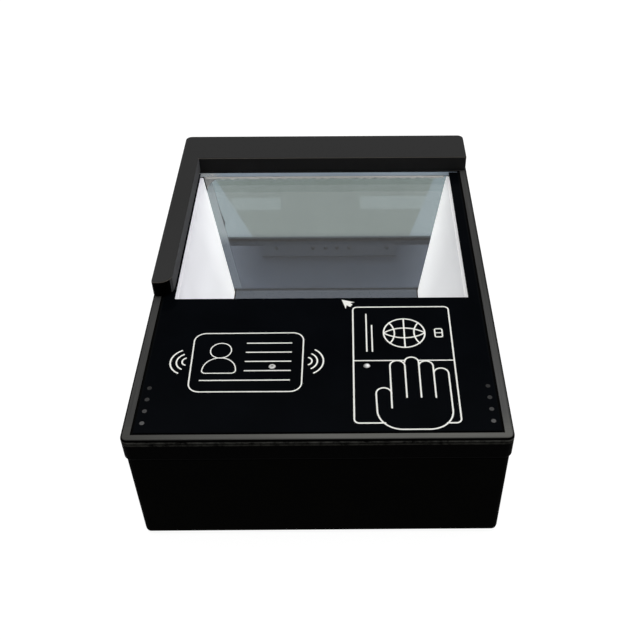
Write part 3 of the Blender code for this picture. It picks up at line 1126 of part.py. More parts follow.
def build_main_board(board, aluminium, plastic):
    """Main board on four posts, with its processor, capacitors and ribbon sockets, and its buzzer."""
    half = MAIN_BOARD_WIDTH / 2
    shape = bmesh.new()
    add_box(shape, (-half, BOARD_FRONT, BOARD_BOTTOM), (half, BOARD_BACK, BOARD_TOP))
    circuit = make_object("main_board", shape, board, smooth=False)
    holes = bmesh.new()
    for x, y in board_posts():
        add_round(holes, (x, y, BOARD_BOTTOM - OVERRUN), (x, y, BOARD_TOP + OVERRUN),
                  SMALL_SCREW_RADIUS + SCREW_CLEARANCE, sides=SMALL_SIDES)
    carve(circuit, holes)
    middle = (BOARD_FRONT + BOARD_BACK) / 2
    sunk = BOARD_TOP - BOARD_THICKNESS / 2
    parts = bmesh.new()
    add_box(parts, (CHIP_PLACE - CHIP_SIZE / 2, middle - CHIP_SIZE / 2, sunk),
            (CHIP_PLACE + CHIP_SIZE / 2, middle + CHIP_SIZE / 2, BOARD_TOP + CHIP_HEIGHT))
    for offset in CAPACITORS_FROM_CHIP:
        x, y = CHIP_PLACE + offset, BOARD_BACK - CAPACITOR_INSET
        add_round(parts, (x, y, sunk), (x, y, BOARD_TOP + CAPACITOR_HEIGHT), CAPACITOR_RADIUS)
    for side in (-1, 1):
        add_box(parts, (side * PLUG_PLACE - PLUG_WIDTH / 2, BOARD_FRONT + PLUG_INSET, sunk),
                (side * PLUG_PLACE + PLUG_WIDTH / 2, BOARD_FRONT + PLUG_INSET + PLUG_DEPTH,
                 BOARD_TOP + PLUG_HEIGHT))
    carve(circuit, parts, "UNION")

    sink_bottom = BOARD_TOP + CHIP_HEIGHT + GAP
    edge = HEATSINK_SIZE / 2
    shape = bmesh.new()
    add_box(shape, (CHIP_PLACE - edge, middle - edge, sink_bottom),
            (CHIP_PLACE + edge, middle + edge, sink_bottom + HEATSINK_BASE))
    sink = make_object("heatsink", shape, aluminium, smooth=False)
    fins = bmesh.new()
    pitch = (HEATSINK_SIZE - HEATSINK_FIN) / (HEATSINK_FINS - 1)
    for k in range(HEATSINK_FINS):
        x = CHIP_PLACE - edge + pitch * k
        add_box(fins, (x, middle - edge, sink_bottom + HEATSINK_BASE / 2),
                (x + HEATSINK_FIN, middle + edge, sink_bottom + HEATSINK_HEIGHT))
    carve(sink, fins, "UNION")

    x, y = BUZZER_PLACE, BOARD_FRONT + BUZZER_INSET
    bottom = BOARD_TOP + GAP
    shape = bmesh.new()
    add_round(shape, (x, y, bottom), (x, y, bottom + BUZZER_HEIGHT), BUZZER_RADIUS, sides=FINE_SIDES)
    buzzer = make_object("buzzer", shape, plastic)
    hole = bmesh.new()
    add_round(hole, (x, y, bottom + BUZZER_HEIGHT / 2), (x, y, bottom + BUZZER_HEIGHT + OVERRUN),
              BUZZER_HOLE_RADIUS, sides=SMALL_SIDES)
    carve(buzzer, hole)


def build_sockets(steel, plastic):
    """The square data socket and the round power socket, on the main board's rear edge."""
    face = BASE_OUTER_Y - SOCKET_SINK
    bottom = BOARD_TOP + GAP
    shape = bmesh.new()
    add_box(shape, (USB_PLACE - USB_WIDTH / 2, face - USB_LENGTH, bottom),
            (USB_PLACE + USB_WIDTH / 2, face, bottom + USB_HEIGHT))
    usb = make_object("usb_socket", shape, steel, smooth=False)
    height = bottom + USB_HEIGHT / 2
    mouth = bmesh.new()
    add_box(mouth, (USB_PLACE - USB_MOUTH_WIDTH / 2, face - USB_MOUTH_DEPTH, height - USB_MOUTH_HEIGHT / 2),
            (USB_PLACE + USB_MOUTH_WIDTH / 2, face + OVERRUN, height + USB_MOUTH_HEIGHT / 2))
    carve(usb, mouth)
    tongue = bmesh.new()
    add_box(tongue, (USB_PLACE - USB_TONGUE_WIDTH / 2, face - USB_MOUTH_DEPTH - OVERRUN,
                     height - USB_TONGUE_HEIGHT / 2),
            (USB_PLACE + USB_TONGUE_WIDTH / 2, face - USB_MOUTH_DEPTH + USB_TONGUE_LENGTH,
             height + USB_TONGUE_HEIGHT / 2))
    carve(usb, tongue, "UNION")

    shape = bmesh.new()
    add_box(shape, (JACK_PLACE - JACK_WIDTH / 2, face - JACK_LENGTH, bottom),
            (JACK_PLACE + JACK_WIDTH / 2, face, bottom + JACK_HEIGHT))
    jack = make_object("dc_jack", shape, plastic, smooth=False)
    height = bottom + JACK_HEIGHT / 2
    bore = bmesh.new()
    add_round(bore, (JACK_PLACE, face - JACK_BORE_DEPTH, height), (JACK_PLACE, face + OVERRUN, height),
              JACK_BORE_RADIUS, sides=FINE_SIDES)
    carve(jack, bore)
    pin = bmesh.new()
    add_round(pin, (JACK_PLACE, face - JACK_BORE_DEPTH - OVERRUN, height),
              (JACK_PLACE, face - JACK_BORE_DEPTH + JACK_PIN_LENGTH, height), JACK_PIN_RADIUS,
              sides=SMALL_SIDES)
    carve(jack, pin, "UNION")


def build_switch(plastic):
    """Snap-in power switch: the fixed body, and the rocker on its two stub pins."""
    panel_face = BASE_OUTER_Y - SWITCH_POCKET_DEPTH
    flange_back = panel_face + GAP
    flange_face = flange_back + SWITCH_FLANGE_THICKNESS
    x, z = SWITCH_PLACE, SWITCH_HEIGHT
    shape = bmesh.new()
    add_box(shape, (x - SWITCH_FLANGE_WIDTH / 2, flange_back, z - SWITCH_FLANGE_HEIGHT / 2),
            (x + SWITCH_FLANGE_WIDTH / 2, flange_face, z + SWITCH_FLANGE_HEIGHT / 2))
    body = make_object("power_switch_body", shape, plastic, smooth=False)
    barrel = bmesh.new()
    body_back = flange_face - SWITCH_BODY_LENGTH
    add_box(barrel, (x - SWITCH_BODY_WIDTH / 2, body_back, z - SWITCH_BODY_HEIGHT / 2),
            (x + SWITCH_BODY_WIDTH / 2, (flange_back + flange_face) / 2, z + SWITCH_BODY_HEIGHT / 2))
    carve(body, barrel, "UNION")
    blades = bmesh.new()
    for side in (-1, 1):
        height = z + side * BLADE_HALF_PITCH
        add_box(blades, (x - BLADE_WIDTH / 2, body_back - BLADE_LENGTH, height - BLADE_THICKNESS / 2),
                (x + BLADE_WIDTH / 2, body_back + OVERRUN, height + BLADE_THICKNESS / 2))
    carve(body, blades, "UNION")
    pivot = Vector((x, flange_face - ROCKER_PIVOT_DEPTH, z))
    well = bmesh.new()
    add_box(well, (x - SWITCH_WELL_WIDTH / 2, flange_face - SWITCH_WELL_DEPTH, z - SWITCH_WELL_HEIGHT / 2),
            (x + SWITCH_WELL_WIDTH / 2, flange_face + OVERRUN, z + SWITCH_WELL_HEIGHT / 2))
    carve(body, well)
    pin_reach = ROCKER_WIDTH / 2 + ROCKER_PIN_LENGTH
    ears = bmesh.new()
    reach = Vector((pin_reach + ROCKER_PIN_CLEARANCE, 0.0, 0.0))
    add_round(ears, pivot - reach, pivot + reach, ROCKER_PIN_RADIUS + ROCKER_PIN_CLEARANCE)
    carve(body, ears)

    outline = [(-ROCKER_BACK, -ROCKER_BACK_HALF_HEIGHT), (ROCKER_REACH - ROCKER_SKIRT, -ROCKER_HALF_HEIGHT),
               (ROCKER_REACH, -ROCKER_HALF_HEIGHT), (ROCKER_REACH - ROCKER_DIP, 0.0),
               (ROCKER_REACH, ROCKER_HALF_HEIGHT), (ROCKER_REACH - ROCKER_SKIRT, ROCKER_HALF_HEIGHT),
               (-ROCKER_BACK, ROCKER_BACK_HALF_HEIGHT)]
    shape = bmesh.new()
    add_side_prism(shape, outline, -ROCKER_WIDTH / 2, ROCKER_WIDTH / 2)
    rocker = make_object("power_rocker", shape, plastic, origin=pivot, turn=(-ROCKER_TILT, 0.0, 0.0),
                         smooth=False)
    pins = bmesh.new()
    reach = Vector((pin_reach, 0.0, 0.0))
    add_round(pins, pivot - reach, pivot + reach, ROCKER_PIN_RADIUS)
    carve(rocker, pins, "UNION")


def build_ribbons(film):
    """Flat cables from the camera and the antenna along the floor to the main board."""
    low, high = ON_FLOOR, ON_FLOOR + RIBBON_THICKNESS
    half = RIBBON_WIDTH / 2
    riser_y = BOARD_FRONT - RIBBON_STAND_OFF
    turn_y = riser_y - RIBBON_WIDTH
    fold_height = BOARD_TOP + PLUG_HEIGHT + GAP

    camera_back = along_axis(plate_back() - GAP - BOARD_THICKNESS - CAMERA_PLUG_DEPTH,
                             0.0, -CAMERA_BOARD_HEIGHT / 2)
    start_y = camera_back.y - RIBBON_STAND_OFF
    drop_x = RIBBON_LANE - half
    antenna_bottom = LEDGE_BOTTOM - GAP - BOARD_THICKNESS
    run_y = start_y - RIBBON_WIDTH
    for name, side in (("camera_ribbon", -1), ("antenna_ribbon", 1)):
        lane = side * RIBBON_LANE
        shape = bmesh.new()
        add_box(shape, (lane - half, run_y, low), (lane + half, riser_y, high))
        cable = make_object(name, shape, film, smooth=False)
        runs = bmesh.new()
        plug = side * PLUG_PLACE
        inner, outer = sorted((plug - side * half, lane + side * half))
        add_box(runs, (inner, turn_y, low), (outer, riser_y, high))
        carve(cable, runs, "UNION")
        riser = bmesh.new()
        add_box(riser, (plug - half, riser_y - RIBBON_THICKNESS, low), (plug + half, riser_y, fold_height))
        carve(cable, riser, "UNION")
        end = bmesh.new()
        add_box(end, (plug - half, riser_y - RIBBON_THICKNESS, fold_height),
                (plug + half, BOARD_FRONT + PLUG_INSET + PLUG_DEPTH / 2, fold_height + RIBBON_THICKNESS))
        carve(cable, end, "UNION")
        far_end = bmesh.new()
        if side < 0:
            add_box(far_end, (lane - half, run_y, low), (half, start_y, high))
            carve(cable, far_end, "UNION")
            lift = bmesh.new()
            add_box(lift, (-half, start_y - RIBBON_THICKNESS, low),
                    (half, start_y, camera_back.z + CAMERA_PLUG_HEIGHT))
            carve(cable, lift, "UNION")
        else:
            add_box(far_end, (drop_x, run_y, low),
                    (drop_x + RIBBON_THICKNESS, start_y, antenna_bottom - GAP))
            carve(cable, far_end, "UNION")
            top_run = bmesh.new()
            add_box(top_run, (MODULE_WIDTH / 2 + GAP, run_y, antenna_bottom - GAP - RIBBON_THICKNESS),
                    (drop_x + RIBBON_THICKNESS, start_y, antenna_bottom - GAP))
            carve(cable, top_run, "UNION")


clear_scene()
black_plastic = make_material("black_abs_fine_spark_texture", (0.012, 0.012, 0.013), 0.45)
rim_plastic = make_material("black_abs_satin", (0.030, 0.030, 0.030), 0.38)
grey_plastic = make_material("grey_abs_moulded", (0.30, 0.31, 0.33), 0.5)
clear_glass = make_material("tempered_float_glass", (0.80, 0.88, 0.87), 0.02, transmission=1.0)
adhesive_film = make_material("black_adhesive_film", (0.01, 0.01, 0.01), 0.6)
black_rubber = make_material("black_moulded_rubber", (0.015, 0.015, 0.015), 0.7)
white_acrylic = make_material("opal_acrylic_sheet", (0.82, 0.82, 0.83), 0.4)
tinted_mirror = make_material("dark_coated_mirror", (0.28, 0.31, 0.31), 0.03, metallic=1.0)
sheet_steel = make_material("galvanised_steel_sheet", (0.62, 0.62, 0.60), 0.4, metallic=1.0)
screw_steel = make_material("black_zinc_screw_steel", (0.25, 0.25, 0.26), 0.35, metallic=1.0)
green_board = make_material("green_glass_epoxy_board", (0.02, 0.12, 0.05), 0.4)
brass_screw = make_material("machined_brass", (0.70, 0.52, 0.24), 0.3, metallic=1.0)
clear_acrylic = make_material("clear_moulded_acrylic", (0.85, 0.86, 0.86), 0.08, transmission=0.8)
extruded_aluminium = make_material("black_anodised_aluminium", (0.08, 0.08, 0.09), 0.4, metallic=1.0)
nickel_shell = make_material("nickel_plated_steel", (0.66, 0.65, 0.62), 0.25, metallic=1.0)
ribbon_film = make_material("white_ribbon_cable_film", (0.75, 0.76, 0.78), 0.4)

build_lid(rim_plastic)
build_base(black_plastic)
build_guide(rim_plastic)
build_glass(clear_glass, adhesive_film, black_rubber)
build_feet(black_rubber)
build_fasteners(screw_steel)
build_walls(white_acrylic)
build_mirror(tinted_mirror, sheet_steel)
build_bulkhead(grey_plastic)
build_camera(black_plastic, green_board, sheet_steel, clear_glass, brass_screw)
build_light_strips(green_board)
build_indicators(clear_acrylic, green_board)
build_sensors(clear_acrylic)
build_contactless_reader(green_board, nickel_shell)
build_main_board(green_board, extruded_aluminium, black_plastic)
build_sockets(nickel_shell, black_plastic)
build_switch(black_plastic)
build_ribbons(ribbon_film)
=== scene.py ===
import math

import bmesh
import bpy
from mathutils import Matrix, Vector


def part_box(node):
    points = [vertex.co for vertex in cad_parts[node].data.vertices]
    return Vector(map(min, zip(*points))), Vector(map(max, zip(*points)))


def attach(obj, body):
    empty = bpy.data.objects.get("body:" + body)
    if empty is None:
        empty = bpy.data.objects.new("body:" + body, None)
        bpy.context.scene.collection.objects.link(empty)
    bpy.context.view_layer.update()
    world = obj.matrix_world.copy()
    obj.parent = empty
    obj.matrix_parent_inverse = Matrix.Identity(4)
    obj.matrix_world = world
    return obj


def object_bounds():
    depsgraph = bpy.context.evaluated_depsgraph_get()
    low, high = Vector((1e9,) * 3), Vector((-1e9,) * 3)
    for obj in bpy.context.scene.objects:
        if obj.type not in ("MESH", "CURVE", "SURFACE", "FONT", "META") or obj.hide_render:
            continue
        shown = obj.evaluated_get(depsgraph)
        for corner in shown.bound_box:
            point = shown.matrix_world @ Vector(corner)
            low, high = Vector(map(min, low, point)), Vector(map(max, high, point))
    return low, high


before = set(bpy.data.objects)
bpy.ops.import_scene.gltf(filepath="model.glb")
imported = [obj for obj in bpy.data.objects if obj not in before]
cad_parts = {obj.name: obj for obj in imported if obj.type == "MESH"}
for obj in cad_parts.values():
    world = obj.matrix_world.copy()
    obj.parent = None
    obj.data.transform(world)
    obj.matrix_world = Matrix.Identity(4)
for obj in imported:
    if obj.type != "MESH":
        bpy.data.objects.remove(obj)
cad_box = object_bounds()

# Base tub: black ABS, injection moulded in a spark-eroded tool. That leaves a deep matt black
# with a fine grain. Four screws from below hold the lid on it, and its floor carries the works.
MM = 0.001
GRAIN_SIZE = 0.5 * MM  # the real grain is about 0.1 mm, drawn coarser so that it shows
DUST_SPACING = 15 * MM
DUST_SIZE = 0.12 * MM


def linear(code):
    """An sRGB hex colour as the linear colour that a shader takes."""
    parts = [int(code[at:at + 2], 16) / 255 for at in (0, 2, 4)]
    return [p / 12.92 if p <= 0.04045 else ((p + 0.055) / 1.055) ** 2.4 for p in parts] + [1.0]


def new_material(name):
    """An empty node material, its tree, and the coordinates that its patterns are laid out in."""
    material = bpy.data.materials.new(name)
    material.use_nodes = True
    tree = material.node_tree
    tree.nodes.clear()
    return material, tree, add_node(tree, "TexCoord")


def add_node(tree, kind, settings=None, links=None):
    """Adds a node with its options and socket values, joined to nodes or to (node, output)."""
    node = tree.nodes.new("ShaderNode" + kind)
    for name, value in (settings or {}).items():
        if isinstance(name, str) and hasattr(node, name):
            setattr(node, name, value)
        else:
            node.inputs[name].default_value = value
    for name, source in (links or {}).items():
        source, output = source if isinstance(source, tuple) else (source, 0)
        tree.links.new(source.outputs[output], node.inputs[name])
    return node


def dress(material, *names):
    """Gives CAD nodes this material in place of the plain one."""
    for name in names:
        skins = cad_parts[name].data.materials
        skins.clear()
        skins.append(material)


def inside_box(tree, place, low, high):
    """1 inside a box that is given by two corners in millimetres, 0 outside."""
    centre = [(a + b) / 2 * MM for a, b in zip(low, high)]
    reach = [(b - a) / 2 * MM for a, b in zip(low, high)]
    offset = add_node(tree, "VectorMath", {"operation": "SUBTRACT", 1: centre}, {0: (place, "Object")})
    size = add_node(tree, "VectorMath", {"operation": "ABSOLUTE"}, {0: offset})
    over = add_node(tree, "VectorMath", {"operation": "SUBTRACT", 1: reach}, {0: size})
    axes = add_node(tree, "SeparateXYZ", {}, {0: over})
    most = add_node(tree, "Math", {"operation": "MAXIMUM"}, {0: (axes, "X"), 1: (axes, "Y")})
    most = add_node(tree, "Math", {"operation": "MAXIMUM"}, {0: most, 1: (axes, "Z")})
    return add_node(tree, "Math", {"operation": "LESS_THAN", 1: 0.0}, {0: most})


def dust_on(tree, place, colour, dust_colour):
    """The colour with a few grains of dust on it."""
    cells = add_node(tree, "TexVoronoi", {"Scale": 1 / DUST_SPACING}, {"Vector": (place, "Object")})
    grains = add_node(tree, "Math", {"operation": "LESS_THAN", 1: DUST_SIZE / DUST_SPACING},
                      {0: (cells, "Distance")})
    return add_node(tree, "MixRGB", {"Color2": linear(dust_colour)}, {"Fac": grains, "Color1": colour})


# painted light: the chamber's floor is painted blue-grey as if lit by the walls, and a paler strip lifts the shade
# along the mirror's foot
CHAMBER_FLOOR_PAINTED_LIGHT = ((-49, -21, 2.0), (49, 52.5, 2.7))
MIRROR_FOOT_PAINTED_LIGHT = ((-49, 49.3, 2.0), (49, 52.5, 2.7))

black_abs, tree, place = new_material("black_abs_spark_eroded")
grain = add_node(tree, "TexNoise", {"Scale": 1 / GRAIN_SIZE, "Detail": 3.0, "Roughness": 0.6},
                 {"Vector": (place, "Object")})
cloud = add_node(tree, "TexNoise", {"Scale": 1 / (22 * MM), "Detail": 4.0}, {"Vector": (place, "Object")})
black = add_node(tree, "MixRGB", {"Color1": linear("010101"), "Color2": linear("040403")}, {"Fac": cloud})
dusty = dust_on(tree, place, black, "3a3a38")
# painted light on the chamber's floor, paler along the mirror's foot
floor_painted_light = inside_box(tree, place, *CHAMBER_FLOOR_PAINTED_LIGHT)
tone = add_node(tree, "MixRGB", {"Color2": linear("4a515a")}, {"Fac": floor_painted_light, "Color1": dusty})
foot_painted_light = inside_box(tree, place, *MIRROR_FOOT_PAINTED_LIGHT)
tone = add_node(tree, "MixRGB", {"Color2": linear("545c66")}, {"Fac": foot_painted_light, "Color1": tone})
matt = add_node(tree, "MapRange", {"To Min": 0.5, "To Max": 0.8}, {"Value": grain})
relief = add_node(tree, "Bump", {"Strength": 0.5, "Distance": 0.05 * MM}, {"Height": grain})
shader = add_node(tree, "BsdfPrincipled", {"IOR": 1.53, "Specular IOR Level": 0.004},
                  {"Base Color": tone, "Roughness": matt, "Normal": relief})
add_node(tree, "OutputMaterial", {}, {"Surface": shader})
dress(black_abs, "base_housing")

# Rubber feet: moulded black rubber discs, stuck into round recesses under the tub. Rubber is
# darker and more matt than the case, with a faint bloom of grey dust.
rubber, tree, place = new_material("black_moulded_rubber")
bloom = add_node(tree, "TexNoise", {"Scale": 1 / (1.5 * MM), "Detail": 5.0}, {"Vector": (place, "Object")})
grey = add_node(tree, "MixRGB", {"Color1": linear("030303"), "Color2": linear("0a0a0a")}, {"Fac": bloom})
relief = add_node(tree, "Bump", {"Strength": 0.3, "Distance": 0.05 * MM}, {"Height": bloom})
shader = add_node(tree, "BsdfPrincipled", {"IOR": 1.52, "Roughness": 0.9, "Specular IOR Level": 0.01},
                  {"Base Color": grey, "Normal": relief})
add_node(tree, "OutputMaterial", {}, {"Surface": shader})
dress(rubber, "foot_front_left", "foot_front_right", "foot_back_left", "foot_back_right", "edge_seal")

# Screws: steel with black zinc plating, a dark metal with a slight blue-brown cast. Every
# group of them has this finish, except the brass ones of the camera.
black_zinc, tree, place = new_material("black_zinc_plated_steel")
cast = add_node(tree, "TexNoise", {"Scale": 1 / (0.8 * MM), "Detail": 3.0}, {"Vector": (place, "Object")})
tone = add_node(tree, "MixRGB", {"Color1": linear("2c2d31"), "Color2": linear("3d3a36")}, {"Fac": cast})
wear = add_node(tree, "MapRange", {"To Min": 0.28, "To Max": 0.45}, {"Value": cast})
shader = add_node(tree, "BsdfPrincipled", {"Metallic": 1.0}, {"Base Color": tone, "Roughness": wear})
add_node(tree, "OutputMaterial", {}, {"Surface": shader})
dress(black_zinc, *[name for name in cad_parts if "screw" in name and "camera" not in name])

# Power switch: a snap-in frame and rocker of glossy black polyamide. The rocker tilts on its
# pins, and its two halves carry the usual line and circle, pad printed in white.
MARK_LINE = 0.7 * MM
MARK_RING = 1.5 * MM
MARK_PLACE = 3.9 * MM
INK = 0.03 * MM
RING_STEPS = 32

polyamide, tree, place = new_material("black_polyamide_moulded")
flow = add_node(tree, "TexNoise", {"Scale": 1 / (2.5 * MM), "Detail": 2.0}, {"Vector": (place, "Object")})
tone = add_node(tree, "MixRGB", {"Color1": linear("0b0b0c"), "Color2": linear("151515")}, {"Fac": flow})
gloss = add_node(tree, "MapRange", {"To Min": 0.26, "To Max": 0.38}, {"Value": flow})
shader = add_node(tree, "BsdfPrincipled", {"IOR": 1.53, "Specular IOR Level": 0.35},
                  {"Base Color": tone, "Roughness": gloss})
add_node(tree, "OutputMaterial", {}, {"Surface": shader})
dress(polyamide, "power_switch_body", "power_rocker")

white_ink, tree, place = new_material("white_screen_ink")
mesh_marks = add_node(tree, "TexNoise", {"Scale": 1 / (0.3 * MM), "Detail": 2.0},
                      {"Vector": (place, "Object")})
tone = add_node(tree, "MixRGB", {"Color1": linear("e2e2dc"), "Color2": linear("f0f0eb")},
                {"Fac": mesh_marks})
relief = add_node(tree, "Bump", {"Strength": 0.2, "Distance": 0.01 * MM}, {"Height": mesh_marks})
shader = add_node(tree, "BsdfPrincipled", {"IOR": 1.5, "Roughness": 0.55, "Specular IOR Level": 0.1},
                  {"Base Color": tone, "Normal": relief})
add_node(tree, "OutputMaterial", {}, {"Surface": shader})


def finish_piece(name, shape, material, body):
    """Turns mesh work into a piece that rides on a body."""
    bmesh.ops.recalc_face_normals(shape, faces=shape.faces)
    mesh = bpy.data.meshes.new(name)
    shape.to_mesh(mesh)
    shape.free()
    mesh.materials.append(material)
    piece = bpy.data.objects.new(name, mesh)
    bpy.context.scene.collection.objects.link(piece)
    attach(piece, body)
    return piece


def thicken(shape, faces, offset):
    """Closes flat faces into a solid that reaches by offset below them."""
    made = bmesh.ops.extrude_face_region(shape, geom=faces)["geom"]
    bmesh.ops.translate(shape, vec=offset, verts=[g for g in made if isinstance(g, bmesh.types.BMVert)])


def rocker_face(x, z):
    """The point of the rocker's face straight in front of a place on it."""
    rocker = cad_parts["power_rocker"]
    outside = Vector((x, cad_box[1].y + 0.01, z))
    hit, spot, normal, _ = rocker.ray_cast(outside, Vector((0, -1, 0)))
    return spot + normal * INK


lowest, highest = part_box("power_rocker")
rocker_middle = (lowest + highest) / 2
shape = bmesh.new()
half_line, half_length = MARK_LINE / 2, MARK_RING
upper, lower = rocker_middle.z + MARK_PLACE, rocker_middle.z - MARK_PLACE
corners = [(-half_line, -half_length), (half_line, -half_length), (half_line, half_length),
           (-half_line, half_length)]
bar = shape.faces.new([shape.verts.new(rocker_face(rocker_middle.x + x, upper + z)) for x, z in corners])
thicken(shape, [bar], Vector((0, -2 * INK, 0)))
outer, inner = [], []
for step in range(RING_STEPS):
    turn = math.tau * step / RING_STEPS
    for ring, radius in ((outer, MARK_RING), (inner, MARK_RING - MARK_LINE)):
        spot = rocker_face(rocker_middle.x + radius * math.cos(turn), lower + radius * math.sin(turn))
        ring.append(shape.verts.new(spot))
faces = [shape.faces.new((outer[k - 1], outer[k], inner[k], inner[k - 1])) for k in range(RING_STEPS)]
thicken(shape, faces, Vector((0, -2 * INK, 0)))
finish_piece("rocker_marks", shape, white_ink, "rocker")

# Data socket: a square folded shell of nickel-plated steel round a white plastic tongue. The
# plating is bright with fine drawing lines. It is soldered to the main board's rear edge.
DRAWN_LINE = 0.2 * MM

nickel, tree, place = new_material("nickel_plated_drawn_steel")
along = add_node(tree, "Mapping", {"Scale": (1 / DRAWN_LINE, 0.05 / DRAWN_LINE, 1 / DRAWN_LINE)},
                 {"Vector": (place, "Object")})
lines = add_node(tree, "TexNoise", {"Scale": 1.0, "Detail": 2.0}, {"Vector": along})
tone = add_node(tree, "MixRGB", {"Color1": linear("a9a69e"), "Color2": linear("c4c1b9")}, {"Fac": lines})
gloss = add_node(tree, "MapRange", {"To Min": 0.22, "To Max": 0.36}, {"Value": lines})
low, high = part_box("usb_socket")
middle = (low + high) / 2 / MM
tongue = inside_box(tree, place, (middle.x - 3, middle.y - 2, middle.z - 1.8),
                    (middle.x + 3, high.y / MM + 1, middle.z + 1.8))
skin = add_node(tree, "MixRGB", {"Color2": linear("e6e4dd")}, {"Fac": tongue, "Color1": tone})
metal = add_node(tree, "Math", {"operation": "SUBTRACT", 0: 1.0}, {1: tongue})
shader = add_node(tree, "BsdfPrincipled", {}, {"Base Color": skin, "Roughness": gloss, "Metallic": metal})
add_node(tree, "OutputMaterial", {}, {"Surface": shader})
dress(nickel, "usb_socket", "rfid_module")

# Power inlet: a block of black PBT with a bright pin in its round bore. Beside it on the board
# the buzzer and the camera's lens holder are moulded in the same dull plastic.
pbt, tree, place = new_material("black_pbt_moulded")
grain = add_node(tree, "TexNoise", {"Scale": 1 / (0.4 * MM), "Detail": 2.0}, {"Vector": (place, "Object")})
tone = add_node(tree, "MixRGB", {"Color1": linear("101010"), "Color2": linear("1c1c1c")}, {"Fac": grain})
low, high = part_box("dc_jack")
middle = (low + high) / 2 / MM
pin = inside_box(tree, place, (middle.x - 1.3, middle.y, middle.z - 1.3),
                 (middle.x + 1.3, high.y / MM + 1, middle.z + 1.3))
skin = add_node(tree, "MixRGB", {"Color2": linear("b9b6ad")}, {"Fac": pin, "Color1": tone})
relief = add_node(tree, "Bump", {"Strength": 0.3, "Distance": 0.03 * MM}, {"Height": grain})
shader = add_node(tree, "BsdfPrincipled", {"IOR": 1.57, "Roughness": 0.5, "Specular IOR Level": 0.25},
                  {"Base Color": skin, "Metallic": pin, "Normal": relief})
add_node(tree, "OutputMaterial", {}, {"Surface": shader})
dress(pbt, "dc_jack", "buzzer", "lens_barrel", "lens_mount")

# Circuit boards: glass-fibre epoxy under green solder mask, with copper tracks that show as
# paler lines. The main board also carries black chips, tin-topped capacitors and white plugs.
TRACK_PITCH = 2.0 * MM
BOARD_PARTS = {
    "15191b": [((-11.6, 74.9, 9.15), (6.6, 93.1, 10.9))],
    "b4b3ae": [((8.9, 88.4, 16.4), (22.1, 94.6, 17.5)), ((8.9, 88.4, 9.15), (22.1, 94.6, 9.9))],
    "23262b": [((8.9, 88.4, 9.9), (22.1, 94.6, 16.4))],
    "e4e1d6": [((-62.1, 71.9, 9.15), (-30, 76.2, 10.7)), ((30, 71.9, 9.15), (62.1, 76.2, 10.7)),
               ((-5, -48, 3.0), (5, -38.4, 10.9))],
}


def board_material(name, mask_colour, track_colour, parts):
    """Solder mask over copper tracks, with the parts that stand on the board in their own colours."""
    material, tree, place = new_material(name)
    cells = add_node(tree, "TexBrick", {"Scale": 1 / TRACK_PITCH, "Mortar Size": 0.07, "Mortar Smooth": 0.2,
                                        "Brick Width": 4.5, "Row Height": 0.8, "offset": 0.37,
                                        "Color1": linear(mask_colour), "Color2": linear(mask_colour),
                                        "Mortar": linear(track_colour)}, {"Vector": (place, "Object")})
    glass = add_node(tree, "TexNoise", {"Scale": 1 / (0.9 * MM), "Detail": 2.0},
                     {"Vector": (place, "Object")})
    skin = add_node(tree, "MixRGB", {"blend_type": "MULTIPLY", "Fac": 0.25}, {"Color1": cells, "Color2": glass})
    for colour, boxes in parts.items():
        for low, high in boxes:
            spot = inside_box(tree, place, low, high)
            skin = add_node(tree, "MixRGB", {"Color2": linear(colour)}, {"Fac": spot, "Color1": skin})
    relief = add_node(tree, "Bump", {"Strength": 0.4, "Distance": 0.04 * MM}, {"Height": (cells, "Fac")})
    shader = add_node(tree, "BsdfPrincipled", {"IOR": 1.55, "Roughness": 0.32, "Specular IOR Level": 0.35},
                      {"Base Color": skin, "Normal": relief})
    add_node(tree, "OutputMaterial", {}, {"Surface": shader})
    return material


green_board = board_material("green_solder_mask_board", "0d4a24", "1f7a3c", BOARD_PARTS)
dress(green_board, "main_board", "camera_board", "rfid_antenna_board")

# Heatsink: extruded aluminium with seven fins, dyed black by anodising. The dye dulls the metal
# and the extrusion leaves faint lines along the fins. It is glued on the processor.
anodised, tree, place = new_material("black_anodised_aluminium")
along = add_node(tree, "Mapping", {"Scale": (1 / DRAWN_LINE, 0.04 / DRAWN_LINE, 1 / DRAWN_LINE)},
                 {"Vector": (place, "Object")})
lines = add_node(tree, "TexNoise", {"Scale": 1.0, "Detail": 3.0}, {"Vector": along})
tone = add_node(tree, "MixRGB", {"Color1": linear("17181b"), "Color2": linear("2b2c30")}, {"Fac": lines})
gloss = add_node(tree, "MapRange", {"To Min": 0.35, "To Max": 0.5}, {"Value": lines})
shader = add_node(tree, "BsdfPrincipled", {"Metallic": 1.0}, {"Base Color": tone, "Roughness": gloss})
add_node(tree, "OutputMaterial", {}, {"Surface": shader})
dress(anodised, "heatsink")

# Flat ribbon cables: white polyester film with tinned conductors 1 mm apart, which show through
# as grey lines. They run along the floor from the main board to the camera and the antenna.
CONDUCTOR_PITCH = 1.0 * MM

ribbon, tree, place = new_material("polyester_ribbon_film")
axes = add_node(tree, "SeparateXYZ", {}, {0: (place, "Object")})
lane = add_node(tree, "Math", {"operation": "DIVIDE", 1: CONDUCTOR_PITCH}, {0: (axes, "X")})
part = add_node(tree, "Math", {"operation": "FRACT"}, {0: lane})
wire = add_node(tree, "Math", {"operation": "COMPARE", 1: 0.5, 2: 0.3}, {0: part})
tone = add_node(tree, "MixRGB", {"Color1": linear("e9e9e6"), "Color2": linear("a7abae")}, {"Fac": wire})
relief = add_node(tree, "Bump", {"Strength": 0.4, "Distance": 0.05 * MM}, {"Height": wire})
shader = add_node(tree, "BsdfPrincipled", {"IOR": 1.58, "Roughness": 0.35, "Specular IOR Level": 0.4},
                  {"Base Color": tone, "Normal": relief})
add_node(tree, "OutputMaterial", {}, {"Surface": shader})
dress(ribbon, "camera_ribbon", "antenna_ribbon")

